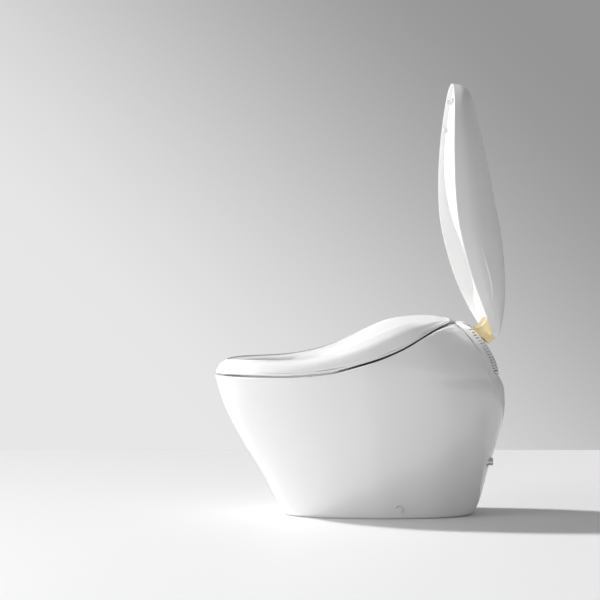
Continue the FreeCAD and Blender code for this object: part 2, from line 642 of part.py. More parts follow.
def flap(x0, x1, name):
    """Door in the nose's front, hung on a pin along its top edge."""
    y = NOSE_FRONT + 0.5
    pin_z = DOOR_HIGH - 1.6
    plate = box(x0 + FLAP_CLEAR, x1 - FLAP_CLEAR, y, y + FLAP_T, DOOR_LOW + FLAP_CLEAR, pin_z)
    pin = rod(HINGE_PIN_R, (x0 - 1.5, y + 1, pin_z), (x1 + 1.5, y + 1, pin_z))
    keep(name, one(plate.fuse(pin).removeSplitter()))
    return rod(HINGE_PIN_R + RUNNING, (x0 - 1.8, y + 1, pin_z), (x1 + 1.8, y + 1, pin_z))


def make_unit_cover():
    inside_pocket = inner_form(POCKET_WALL + 0.5, (200, 300, 350, 383, 424, 472, 512, 541), sides=24)
    deck = inside_pocket.common(slab(RIM_CURVE, -5, -2)).common(box(-300, 300, POCKET_FRONT + 1, DECK_BACK, 300, 700))
    inside = slab(RIM_CURVE, -200, -5).common(box(-NOSE_HALF + NOSE_WALL, NOSE_HALF - NOSE_WALL, NOSE_FRONT + NOSE_WALL,
                                                  POCKET_FRONT + 20, NOSE_FLOOR + NOSE_WALL, 700))
    nose = slab(RIM_CURVE, -200, -2).common(box(-NOSE_HALF, NOSE_HALF, NOSE_FRONT, POCKET_FRONT + 4, NOSE_FLOOR, 700))
    cover = deck.fuse(nose).cut(inside)
    cover = cover.cut(box(-DOOR_HALF, DOOR_HALF, NOSE_FRONT - 5, NOSE_FRONT + 5, DOOR_LOW, DOOR_HIGH))
    cover = cover.cut(box(AIR_LEFT, AIR_RIGHT, NOSE_FRONT - 5, NOSE_FRONT + 5, DOOR_LOW, DOOR_HIGH))
    cover = cover.cut(box(-RACK_SLOT, RACK_SLOT, NOSE_FRONT - 1, NOSE_FRONT + 16, NOSE_FLOOR - 1, DOOR_LOW + 0.1))
    cover = cover.cut(flap(AIR_LEFT, AIR_RIGHT, "air_flap"))
    for side in (-1, 1):
        post = box(side * 126 - 5, side * 126 + 5, 20, 30, BASE_TOP, 700).common(slab(RIM_CURVE, -300, -4))
        cover = cover.fuse(post)
    keep("unit_cover", one(cover.removeSplitter()))


def make_unit_base():
    plate = box(-132, 132, -108, 128, BASE_TOP - BASE_THICK, BASE_TOP)
    for x in (-120, 108):
        for y in (-100, 100):
            plate = plate.fuse(box(x, x + 12, y, y + 12, POCKET_FLOOR + 0.1, BASE_TOP - 1))
    keep("unit_base", plate.removeSplitter())
    frame = None
    for side in (-1, 1):
        low, high = sorted((side * (DRIVE_IN + 2), side * (DRIVE_OUT - 2)))
        post = box(low, high, 108, 126.8, BASE_TOP, 500).fuse(box(low, high, 108, 160, 481, 486.8))
        frame = post if frame is None else frame.fuse(post)
    frame = frame.fuse(box(-DRIVE_OUT + 2, DRIVE_OUT - 2, 114, 120, 380, 420))
    keep("hinge_frame", one(frame.removeSplitter()))
    for name, side, bore in (("lid_drive_unit", 1, SHAFT_R), ("seat_drive_unit", -1, STUB_R)):
        low, high = sorted((side * DRIVE_IN, side * DRIVE_OUT))
        case = box(low, high, 127, 162.5, 487, 510)
        depth = DRIVE_IN + 18 if side > 0 else SEAT_ARM_OUT + 18.5
        hole = rod(bore + RUNNING, (side * (DRIVE_IN - 1), AXIS_Y, AXIS_Z), (side * depth, AXIS_Y, AXIS_Z))
        keep(name, case.cut(hole))


def make_dryer():
    left, right = AIR_LEFT - 2, AIR_RIGHT
    case = rod(FAN_R, (left, FAN_Y, FAN_Z), (right, FAN_Y, FAN_Z)).fuse(box(left, right, -46, FAN_Y, 391, 413))
    room = rod(FAN_R - 2, (left + 2, FAN_Y, FAN_Z), (right - 2, FAN_Y, FAN_Z)).fuse(
        box(left + 2, right - 2, -47, FAN_Y, 393, 411))
    case = case.fuse(box(left, right, -14, 14, BASE_TOP + 0.1, FAN_Z - FAN_R + 8))
    case = case.cut(room).cut(rod(15, (right - 3, FAN_Y, FAN_Z), (right + 3, FAN_Y, FAN_Z)))
    case = case.cut(rod(3.0, (left - 3, FAN_Y, FAN_Z), (left + 3, FAN_Y, FAN_Z)))
    keep("dryer_fan_case", case.removeSplitter())
    duct = box(left, right, NOSE_FRONT + NOSE_WALL + 0.2, -46.2, 391, 413)
    keep("warm_air_duct", duct.cut(box(left + 2, right - 2, -200, 0, 393, 411)))
    hub = rod(6, (left + 5, FAN_Y, FAN_Z), (right - 7, FAN_Y, FAN_Z)).fuse(
        rod(28, (left + 5, FAN_Y, FAN_Z), (left + 6.5, FAN_Y, FAN_Z)))
    for k in range(12):
        blade = box(left + 6, right - 7, FAN_Y - 0.6, FAN_Y + 0.6, FAN_Z + 5, FAN_Z + 28)
        hub = hub.fuse(blade.rotated(Vector(0, FAN_Y, FAN_Z), Vector(1, 0, 0), 30 * k))
    axle = rod(2, (left - 6, FAN_Y, FAN_Z), (left + 5.5, FAN_Y, FAN_Z))
    keep("dryer_fan_wheel", hub.fuse(axle).removeSplitter())
    motor = rod(15, (left - 19, FAN_Y, FAN_Z), (left - 0.2, FAN_Y, FAN_Z))
    keep("dryer_motor", motor.cut(rod(2 + RUNNING, (left - 7, FAN_Y, FAN_Z), (left + 1, FAN_Y, FAN_Z))))


def make_plumbing():
    keep("inlet_fitting", rod(16, (INLET_X, 165, INLET_Z), (INLET_X, INLET_FACE, INLET_Z)).fuse(
        rod(THREAD_R, (INLET_X, INLET_FACE, INLET_Z), (INLET_X, INLET_FACE + THREAD_LENGTH, INLET_Z))).removeSplitter())
    hose = pipe([(165, INLET_Z), (140, INLET_Z), (140, 300)], 8, [16], x=INLET_X)
    keep("supply_hose", hose)
    keep("flush_valve", box(INLET_X - 16, INLET_X + 16, 122, 156, 300, 334))
    gland = rod(10.8, (-INLET_X, 196, INLET_Z), (-INLET_X, 225, INLET_Z)).fuse(
        rod(7, (-INLET_X, 225, INLET_Z), (-INLET_X, 232, INLET_Z)))
    keep("cord_gland", gland.cut(rod(3.6, (-INLET_X, 190, INLET_Z), (-INLET_X, 250, INLET_Z))))
    case = rod(30, (0, -30, POCKET_FLOOR + 0.2), (0, -30, 300))
    keep("flush_pump_case", case.cut(rod(27, (0, -30, 266), (0, -30, 297))).cut(rod(2.6, (0, -30, 290), (0, -30, 301))))
    wheel = rod(7, (0, -30, 268), (0, -30, 292)).fuse(rod(25, (0, -30, 268), (0, -30, 270)))
    for k in range(6):
        wheel = wheel.fuse(box(-1, 1, -24, -6, 269, 290).rotated(Vector(0, -30, 0), Vector(0, 0, 1), 60 * k))
    keep("flush_pump_wheel", wheel.fuse(rod(2.5, (0, -30, 291), (0, -30, 308))).removeSplitter())
    keep("flush_pump_motor", rod(20, (0, -30, 300.2), (0, -30, 336)).cut(
        rod(2.5 + RUNNING, (0, -30, 300), (0, -30, 309))))
    tank = box(-66, -20, -95, 20, BASE_TOP + 0.1, 396)
    keep("water_heater", tank.makeFillet(6, [e for e in tank.Edges if abs(e.BoundBox.ZLength) > 40]))
    keep("wash_valve", box(-112, -78, -85, -40, BASE_TOP + 0.1, 372).fuse(
        rod(11, (-95, -62, 371), (-95, -62, 392))).removeSplitter())
    keep("rim_spout", rod(9, (88, -330, 356), (124, -330, 356)).cut(rod(6, (80, -330, 356), (120, -330, 356))))


INLET_FACE, THREAD_R, THREAD_LENGTH, RECESS_R = 217.0, 10.48, 15.0, 19.5


def make_electrics():
    case = box(74, 126, -90, 15, BASE_TOP + 0.1, 380)
    keep("control_case", case.cut(box(76, 124, -88, 13, 346, 381)))
    keep("control_board", box(78, 122, -86, 11, 350, 352).fuse(box(84, 104, -70, -40, 352, 366)).fuse(
        box(90, 114, -30, 0, 352, 362)).fuse(box(80, 120, -84, -80, 346, 350)).fuse(box(80, 120, 5, 9, 346, 350)))
    keep("control_case_cover", box(74, 126, -90, 15, 380.1, 382.5))
    keep("power_supply", box(-58, 58, 52, 102, BASE_TOP + 0.1, 376))
    case = box(-120, -74, -20, 50, BASE_TOP + 0.1, 392)
    room = rod(20.5, (-97, 5, 347), (-97, 5, 377)).fuse(box(-116, -78, -16, 46, 378, 393))
    keep("deodorizer_case", case.cut(room).cut(rod(2.2, (-97, 5, 340), (-97, 5, 350))))
    fan = rod(6, (-97, 5, 350), (-97, 5, 372))
    for k in range(8):
        fan = fan.fuse(box(-97.6, -96.4, 10, 23, 352, 370).rotated(Vector(-97, 5, 0), Vector(0, 0, 1), 45 * k))
    keep("deodorizer_fan", fan.fuse(rod(2.1, (-97, 5, 345), (-97, 5, 351))).removeSplitter())
    keep("deodorizer_filter", box(-115.8, -78.2, -15.8, 45.8, 378.2, 391))


# ---------------------------------------------------------------- floor fixings and drain
SOCKET_BORE_R, SOCKET_SEAT_R, SOCKET_STEP, SOCKET_TOP = 44.75, 46.0, 24.0, 46.0


def make_fixings():
    socket = rod(74, (0, 0, 0), (0, 0, 8)).fuse(rod(52, (0, 0, 0), (0, 0, SOCKET_TOP)))
    socket = socket.cut(rod(SOCKET_BORE_R, (0, 0, -1), (0, 0, 60))).cut(rod(SOCKET_SEAT_R, (0, 0, SOCKET_STEP), (0, 0, 60)))
    screws = []
    for k in range(4):
        turn = math.radians(45 + 90 * k)
        x, y = 63 * math.cos(turn), 63 * math.sin(turn)
        socket = socket.cut(rod(3.0, (x, y, -1), (x, y, 20)))
        screws.append(rod(2.8, (x, y, 0.5), (x, y, 8.5)).fuse(rod(5.5, (x, y, 8.1), (x, y, 11))).removeSplitter())
    keep("drain_socket", socket.removeSplitter())
    keep("socket_screws", Part.makeCompound(screws))
    spigot = TRAP_R + 9
    keep("drain_gasket", rod(SOCKET_SEAT_R - 0.2, (0, 0, SOCKET_STEP + 0.1), (0, 0, 44)).cut(
        rod(spigot + 0.2, (0, 0, 0), (0, 0, 60))))
    brackets, bolts, caps = [], [], []
    for side in (-1, 1):
        low, high = sorted((side * 78, side * 103))
        block = box(low, high, SIDE_Y - 18, SIDE_Y + 18, 0, 48).fuse(box(low, high, SIDE_Y - 30, SIDE_Y + 30, 0, 6))
        brackets.append(block.cut(rod(3.6, (side * 70, SIDE_Y, SIDE_Z), (side * 120, SIDE_Y, SIDE_Z))).removeSplitter())
        bolt = rod(3.4, (side * 90, SIDE_Y, SIDE_Z), (side * 121, SIDE_Y, SIDE_Z)).fuse(
            rod(7.8, (side * 121, SIDE_Y, SIDE_Z), (side * 126, SIDE_Y, SIDE_Z)))
        bolts.append(bolt.removeSplitter())
        caps.append(rod(CAP_R, (side * (CAP_SEAT + 0.1), SIDE_Y, SIDE_Z), (side * (CAP_SEAT + 3.4), SIDE_Y, SIDE_Z)).fuse(
            rod(7.8, (side * 126.2, SIDE_Y, SIDE_Z), (side * (CAP_SEAT + 0.5), SIDE_Y, SIDE_Z))).removeSplitter())
    keep("fixing_brackets", Part.makeCompound(brackets))
    keep("side_screws", Part.makeCompound(bolts))
    keep("screw_caps", Part.makeCompound(caps))


# ---------------------------------------------------------------- push buttons beside the seat
BUTTON_R, BUTTON_TRAVEL, BUTTON_PROUD = 6.5, 2.0, 1.2
BUTTON_PLACES = (("button_flush", 471.0), ("button_stop", 450.0))
BUTTON_TURN = 110.0         # degrees round the plan outline


def skin_point(z, degrees):
    """Point on the toilet's outside and its outward normal."""
    def at(turn, level):
        front, back, half = outline_at(level)
        widest = front + FRONT_SHARE * (back - front)
        c, s = math.cos(math.radians(turn)), math.sin(math.radians(turn))
        return Vector(half * signed_power(c, 2 / BLUNT_BACK), widest + (back - widest) * s ** (2 / BLUNT_BACK), level)

    round_it = at(degrees + 0.5, z) - at(degrees - 0.5, z)
    up_it = at(degrees, z + 1) - at(degrees, z - 1)
    return at(degrees, z), round_it.cross(up_it).normalize()


def bar(radius, start, end):
    return Part.makeCylinder(radius, (end - start).Length, start, end - start)


def make_buttons(cover, body):
    """Two sprung buttons through the rear cover, with the switch block that carries them."""
    for name, z in BUTTON_PLACES:
        spot, out = skin_point(z, BUTTON_TURN)
        cover = cover.cut(bar(BUTTON_R + 0.15, spot - out * 20, spot + out * 10))
        stem = bar(BUTTON_R, spot - out * 9.5, spot + out * BUTTON_PROUD)
        keep(name, stem.fuse(bar(BUTTON_R + 2.5, spot - out * 9.5, spot - out * 8)).removeSplitter())
    spot, out = skin_point(sum(z for _, z in BUTTON_PLACES) / 2, BUTTON_TURN)
    block = Part.makeBox(8, 18, 58, Vector(-20.8, -9, -29))
    for z in (-29, 24):
        block = block.fuse(Part.makeBox(17, 18, 5, Vector(-20.8, -9, z)))
    block.Placement = FreeCAD.Placement(spot, FreeCAD.Rotation(Vector(1, 0, 0), out))
    keep("button_switches", block.cut(cover).cut(body))
    return cover


def vent_holes():
    """Slots of the rear cover's ventilation grid."""
    holes = []
    for row in range(VENT_ROWS):
        z = VENT_LOW + row * VENT_PITCH
        back = outline_at(z)[1]
        for column in range(-VENT_SIDE, VENT_SIDE + 1):
            x = column * VENT_ACROSS
            holes.append(box(x - 2.5, x + 2.5, back - 25, back + 5, z - 1.4, z + 1.4))
    return Part.makeCompound(holes)


VENT_ROWS, VENT_LOW, VENT_PITCH, VENT_SIDE, VENT_ACROSS = 7, 408.0, 9.0, 4, 13.0


def main():
    body = ceramic()
    body = body.cut(rod(11, (-INLET_X, 150, INLET_Z), (-INLET_X, 300, INLET_Z)))
    for x in (-INLET_X, INLET_X):
        body = body.cut(rod(RECESS_R, (x, INLET_FACE - 1, INLET_Z), (x, 300, INLET_Z)))
    body = body.cut(rod(9, (INLET_X, 140, POCKET_FLOOR - 30), (INLET_X, 140, POCKET_FLOOR + 5)))
    keep("ceramic_body", body)
    keep("rear_cover", one(make_buttons(rear_cover().cut(vent_holes()), body)))
    make_lid()
    make_seat()
    make_unit_base()
    make_unit_cover()
    make_wand()
    make_dryer()
    make_plumbing()
    make_electrics()
    make_fixings()
    for name, shape in PARTS.items():
        one(shape).exportStep(f"parts/{name}.step")
        print(name, shape.isValid(), len(shape.Solids), round(shape.Volume / 1000, 1), "cm3")


main()
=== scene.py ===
# %% [markdown]
# # A smart toilet with a heated seat
#
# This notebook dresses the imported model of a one-piece smart toilet: a glazed body, a plastic rear cover, a
# heated seat ring and a lid that is held up by a small golden bracket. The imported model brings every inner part
# and every joint. What the eye meets first, the big glossy skins, is drawn again here as smooth surfaces.

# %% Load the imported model
import json
import math
import bpy
import bmesh
import numpy as np
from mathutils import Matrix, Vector


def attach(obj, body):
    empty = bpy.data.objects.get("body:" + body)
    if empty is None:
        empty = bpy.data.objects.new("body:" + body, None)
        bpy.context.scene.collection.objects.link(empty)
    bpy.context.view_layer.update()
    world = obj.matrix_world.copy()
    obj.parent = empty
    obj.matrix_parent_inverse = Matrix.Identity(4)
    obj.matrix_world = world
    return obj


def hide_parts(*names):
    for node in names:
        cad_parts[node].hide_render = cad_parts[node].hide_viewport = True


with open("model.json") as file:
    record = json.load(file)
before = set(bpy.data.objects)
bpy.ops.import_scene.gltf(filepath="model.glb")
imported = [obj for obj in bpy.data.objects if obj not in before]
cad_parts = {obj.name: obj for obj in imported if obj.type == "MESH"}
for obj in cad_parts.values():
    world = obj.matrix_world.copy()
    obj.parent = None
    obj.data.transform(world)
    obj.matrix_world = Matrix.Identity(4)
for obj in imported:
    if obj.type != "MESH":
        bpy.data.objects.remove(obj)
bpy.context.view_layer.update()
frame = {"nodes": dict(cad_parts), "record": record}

# %% [markdown]
# ## Curves through measured places
#
# The real body has no straight line in its side view: the front leans out, the back bulges, the rim swings up in
# an S. Each of these is a handful of measured places, in millimetres, and one smooth curve through them.

# %% One smooth curve through places


def through(knots, values, where):
    """Cubic pieces through (knot, value) pairs. The slope at a place is the mean of its two sides' slopes,
    the nearer side counting more; outside the places the curve holds its last value."""
    knots, values = np.asarray(knots, float), np.asarray(values, float)
    order = np.argsort(knots)
    knots, values = knots[order], values[order]
    step = np.diff(knots)
    shape = (-1,) + (1,) * (values.ndim - 1)
    side = np.diff(values, axis=0) / step.reshape(shape)
    before, after = step[:-1].reshape(shape), step[1:].reshape(shape)
    slope = np.concatenate([side[:1], (side[:-1] * after + side[1:] * before) / (before + after), side[-1:]])
    where = np.clip(where, knots[0], knots[-1])
    i = np.clip(np.searchsorted(knots, where, side="right") - 1, 0, len(step) - 1)
    tail = where.shape + (1,) * (values.ndim - 1)
    h, s = step[i].reshape(tail), ((where - knots[i]) / step[i]).reshape(tail)
    return ((1 + 2 * s) * (1 - s) ** 2 * values[i] + s * (1 - s) ** 2 * h * slope[i]
            + s * s * (3 - 2 * s) * values[i + 1] + s * s * (s - 1) * h * slope[i + 1])


def height(curve, y):
    """Height over y of a curve given as (y, z) places."""
    return through([p[0] for p in curve], [p[1] for p in curve], np.asarray(y, float))


def reach(curve, z):
    """Reach at height z of an edge given as (reach, z) places."""
    return through([p[1] for p in curve], [p[0] for p in curve], np.asarray(z, float))


# %% [markdown]
# ## The plan outline
#
# Seen from above, the body, the seat and the lid are all the same kind of egg: blunt at the back, finer at the
# front. One formula draws them: a circle whose sine and cosine are raised to powers. Twenty-four places are taken
# from it and joined by a closed cubic spline, which irons out the faint kink at the widest place.

# %% Egg-shaped outlines
RING = 24                                       # places of an outline that its spline joins
AROUND = 192                                    # points that are taken from the spline
DEGREES_PER_PLACE = 360 / RING
TURNS = np.arange(RING) * 2 * np.pi / RING
BLUNT, FULL, FINE = 2 / 2.6, 2 / 2.2, 2 / 1.65  # powers of the cosine and sine: a smaller one is squarer


def plan(front, back, half, share=0.55):
    """Egg outline: x = half * cos^p and y = widest +- length * sin^q, with their own powers for front and back.
    share says how far from front to back the widest place lies. The arrays may have any shape."""
    front, back, half = (np.asarray(v, float)[..., None] for v in (front, back, half))
    c, s = np.cos(TURNS), np.sin(TURNS)
    widest = front + share * (back - front)
    x = half * np.sign(c) * np.abs(c) ** np.where(s >= 0, BLUNT, FULL)
    rear = widest + (back - widest) * np.abs(s) ** BLUNT
    fore = widest - (widest - front) * np.abs(s) ** FINE
    return x, np.where(s >= 0, rear, fore)


def basis(distance):
    """The bell of a cubic spline: 2/3 - d^2 + d^3/2 up to one place away, then (2 - d)^3/6, then nothing."""
    d = np.abs(distance)
    return np.where(d < 1, 2 / 3 - d ** 2 + d ** 3 / 2, np.where(d < 2, (2 - d) ** 3 / 6, 0.0))


def weights(places):
    """How much each of the outline's places counts at points between them: the bells at those points times the
    inverse of the bells at the places, so that the closed spline passes through every place."""
    def lap(a):
        return (a + RING / 2) % RING - RING / 2
    own = basis(lap(np.arange(RING)[:, None] - np.arange(RING)))
    return basis(lap(np.asarray(places, float)[..., None] - np.arange(RING))) @ np.linalg.inv(own)


EVERYWHERE = weights(np.arange(AROUND) * RING / AROUND)

# %% [markdown]
# ## From a grid of points to a piece
#
# Every skin below is a grid: rows run up or across the piece and columns run round it. The same few steps make a
# mesh from any grid. Rows that shrink to one point are merged into a pole, so each piece is closed.

# %% Grid to mesh
MM = 0.001
SAME_POINT, NO_EDGE = 1e-6, 1e-7                # metres
ASKEW = [0.0, 0.31, 0.95]                       # a direction that no turned piece points along


def grid_mesh(name, grid, around=True, along=False):
    """Mesh of four-sided faces over a grid of points in millimetres, joined round (around) and end to end (along)."""
    rows, cols = grid.shape[:2]
    r, c = np.meshgrid(np.arange(rows if along else rows - 1), np.arange(cols if around else cols - 1), indexing="ij")
    r, c = r.ravel(), c.ravel()
    r2, c2 = (r + 1) % rows, (c + 1) % cols
    quads = np.stack([r * cols + c, r * cols + c2, r2 * cols + c2, r2 * cols + c], 1)
    mesh = bpy.data.meshes.new(name)
    mesh.from_pydata((grid.reshape(-1, 3) * MM).tolist(), [], quads.tolist())
    return tidy_mesh(mesh)


def tidy_mesh(mesh):
    """Merges the points that poles and seams share, and turns every face outwards."""
    bm = bmesh.new()
    bm.from_mesh(mesh)
    bmesh.ops.remove_doubles(bm, verts=bm.verts, dist=SAME_POINT)
    bmesh.ops.dissolve_degenerate(bm, edges=bm.edges, dist=NO_EDGE)
    bmesh.ops.recalc_face_normals(bm, faces=bm.faces)
    bm.to_mesh(mesh)
    bm.free()
    mesh.update()
    return mesh


def joined(name, meshes):
    """Several meshes as one."""
    bm = bmesh.new()
    for mesh in meshes:
        bm.from_mesh(mesh)
    whole = bpy.data.meshes.new(name)
    bm.to_mesh(whole)
    bm.free()
    return whole


def put(name, mesh):
    """Puts a mesh into the scene as an object at the origin."""
    thing = bpy.data.objects.new(name, mesh)
    bpy.context.scene.collection.objects.link(thing)
    return thing


def smooth_by_angle(mesh, degrees=35):
    """Shades a mesh smoothly, apart from the edges that turn by more than some degrees."""
    mesh.polygons.foreach_set("use_smooth", np.ones(len(mesh.polygons), bool))
    mesh.set_sharp_from_angle(angle=math.radians(degrees))


def pole(row):
    """A row that has shrunk to the middle of another row."""
    return np.broadcast_to(row.mean(0), row.shape)


def carve(thing, *cutters):
    """Cuts other closed meshes out of a piece and keeps only the result."""
    for cutter in cutters:
        knife = put("cutter", cutter)
        step = thing.modifiers.new("carve", "BOOLEAN")
        step.operation, step.solver, step.object = "DIFFERENCE", "EXACT", knife
        result = bpy.data.meshes.new_from_object(thing.evaluated_get(bpy.context.evaluated_depsgraph_get()))
        thing.modifiers.clear()
        thing.data = result
        bpy.data.objects.remove(knife)
    return thing


def stack(x, y, z):
    """Points from their x, y and z, each an array or one number for all."""
    return np.stack(np.broadcast_arrays(x, y, z), -1)


def prism(profile, x0, x1):
    """Closed block: a (y, z) profile pushed from x0 to x1, with a pole in the middle of each end."""
    profile = np.asarray(profile, float)
    rows = [stack(x, profile[:, 0], profile[:, 1]) for x in (x0, x1)]
    return grid_mesh("prism", np.array([pole(rows[0]), *rows, pole(rows[1])]))


def lathe(profile, start, axis, sides=48):
    """Surface of revolution: start + distance * axis + radius * (cos a * other + sin a * third), for each (distance
    along, radius) place of a profile and each angle a."""
    axis = np.asarray(axis, float) / np.linalg.norm(axis)
    other = np.cross(axis, ASKEW)
    other /= np.linalg.norm(other)
    third = np.cross(axis, other)
    turn = np.arange(sides) * 2 * np.pi / sides
    round_it = np.cos(turn)[:, None] * other + np.sin(turn)[:, None] * third
    return np.array([np.asarray(start, float) + axis * along + radius * round_it for along, radius in profile])


# %% [markdown]
# ## Glossy, satin and metal finishes
#
# Two effects are shared. *Fine relief* is what keeps a real surface from looking like a mirror: the long slow
# waves of a fired glaze, the fine grain of a mould. *Slow drift* is the faint change of tone across a big pale
# part. Both are node groups, built once, and each material sets them with its own numbers.

# %% Shared effects as node groups
SMEAR_SCALE, SMEAR_DETAIL = 14.0, 5.0
COAT_ROUGHNESS = 0.05


def new_group(name, inputs, outputs):
    """An empty node group with named sockets, and its two end nodes."""
    group = bpy.data.node_groups.new(name, "ShaderNodeTree")
    for label, kind, value in inputs:
        socket = group.interface.new_socket(name=label, in_out="INPUT", socket_type=kind)
        socket.default_value = value
    for label, kind in outputs:
        group.interface.new_socket(name=label, in_out="OUTPUT", socket_type=kind)
    return group, group.nodes.new("NodeGroupInput"), group.nodes.new("NodeGroupOutput")


def build_fine_relief():
    """Height = slow waves * wave share + fine grain * grain share, and a spread of roughness from the grain."""
    group, given, out = new_group(
        "fine relief",
        [("Wave size", "NodeSocketFloat", 8.0), ("Wave share", "NodeSocketFloat", 1.0),
         ("Grain size", "NodeSocketFloat", 900.0), ("Grain share", "NodeSocketFloat", 0.1),
         ("Gloss", "NodeSocketFloat", 0.1), ("Gloss spread", "NodeSocketFloat", 0.03)],
        [("Height", "NodeSocketFloat"), ("Roughness", "NodeSocketFloat")])
    node, link = group.nodes.new, group.links.new
    where = node("ShaderNodeTexCoord")
    parts = []
    for size, share, detail in (("Wave size", "Wave share", 2.0), ("Grain size", "Grain share", 4.0)):
        noise = node("ShaderNodeTexNoise")
        noise.inputs["Detail"].default_value = detail
        link(where.outputs["Object"], noise.inputs["Vector"])
        link(given.outputs[size], noise.inputs["Scale"])
        times = node("ShaderNodeMath")
        times.operation = "MULTIPLY"
        link(noise.outputs["Fac"], times.inputs[0])
        link(given.outputs[share], times.inputs[1])
        parts.append(times)
    total = node("ShaderNodeMath")
    link(parts[0].outputs[0], total.inputs[0])
    link(parts[1].outputs[0], total.inputs[1])
    link(total.outputs[0], out.inputs["Height"])
    smear = node("ShaderNodeTexNoise")
    smear.inputs["Scale"].default_value = SMEAR_SCALE
    smear.inputs["Detail"].default_value = SMEAR_DETAIL
    link(where.outputs["Object"], smear.inputs["Vector"])
    spread = node("ShaderNodeMath")
    spread.operation = "MULTIPLY_ADD"
    link(smear.outputs["Fac"], spread.inputs[0])
    link(given.outputs["Gloss spread"], spread.inputs[1])
    link(given.outputs["Gloss"], spread.inputs[2])
    link(spread.outputs[0], out.inputs["Roughness"])
    return group


def build_slow_drift():
    """Colour = the finish's own colour, pulled a little towards a second tone where a slow noise is high."""
    group, given, out = new_group(
        "slow drift",
        [("Colour", "NodeSocketColor", (0.8, 0.8, 0.8, 1)), ("Second tone", "NodeSocketColor", (0.7, 0.7, 0.7, 1)),
         ("Patch size", "NodeSocketFloat", 5.0), ("Amount", "NodeSocketFloat", 0.3)],
        [("Colour", "NodeSocketColor")])
    node, link = group.nodes.new, group.links.new
    where, noise = node("ShaderNodeTexCoord"), node("ShaderNodeTexNoise")
    noise.inputs["Detail"].default_value = 3.0
    link(where.outputs["Object"], noise.inputs["Vector"])
    link(given.outputs["Patch size"], noise.inputs["Scale"])
    amount = node("ShaderNodeMath")
    amount.operation = "MULTIPLY"
    link(noise.outputs["Fac"], amount.inputs[0])
    link(given.outputs["Amount"], amount.inputs[1])
    mix = node("ShaderNodeMix")
    mix.data_type = "RGBA"
    link(amount.outputs[0], mix.inputs["Factor"])
    link(given.outputs["Colour"], mix.inputs["A"])
    link(given.outputs["Second tone"], mix.inputs["B"])
    link(mix.outputs["Result"], out.inputs["Colour"])
    return group


FINE_RELIEF, SLOW_DRIFT = build_fine_relief(), build_slow_drift()

# %% One material from a row of numbers


def finish(name, colour, second, amount, gloss, spread, wave=(8.0, 1.0), grain=(900.0, 0.1), depth=0.0002,
           metal=0.0, coat=0.0, patches=5.0):
    """Principled surface with slow drift in its colour and fine relief in its roughness and bump."""
    made = bpy.data.materials.new(name)
    made.use_nodes = True
    tree = made.node_tree
    shader = tree.nodes["Principled BSDF"]
    drift, relief, bump = (tree.nodes.new(kind) for kind in ("ShaderNodeGroup", "ShaderNodeGroup", "ShaderNodeBump"))
    drift.node_tree, relief.node_tree = SLOW_DRIFT, FINE_RELIEF
    for socket, value in (("Colour", (*colour, 1)), ("Second tone", (*second, 1)), ("Patch size", patches),
                          ("Amount", amount)):
        drift.inputs[socket].default_value = value
    for socket, value in (("Wave size", wave[0]), ("Wave share", wave[1]), ("Grain size", grain[0]),
                          ("Grain share", grain[1]), ("Gloss", gloss), ("Gloss spread", spread)):
        relief.inputs[socket].default_value = value
    bump.inputs["Strength"].default_value = 1.0
    bump.inputs["Distance"].default_value = depth
    shader.inputs["Metallic"].default_value = metal
    shader.inputs["Coat Weight"].default_value = coat
    shader.inputs["Coat Roughness"].default_value = COAT_ROUGHNESS
    tree.links.new(drift.outputs["Colour"], shader.inputs["Base Color"])
    tree.links.new(relief.outputs["Roughness"], shader.inputs["Roughness"])
    tree.links.new(relief.outputs["Height"], bump.inputs["Height"])
    tree.links.new(bump.outputs["Normal"], shader.inputs["Normal"])
    made.diffuse_color = (*colour, 1)
    return made


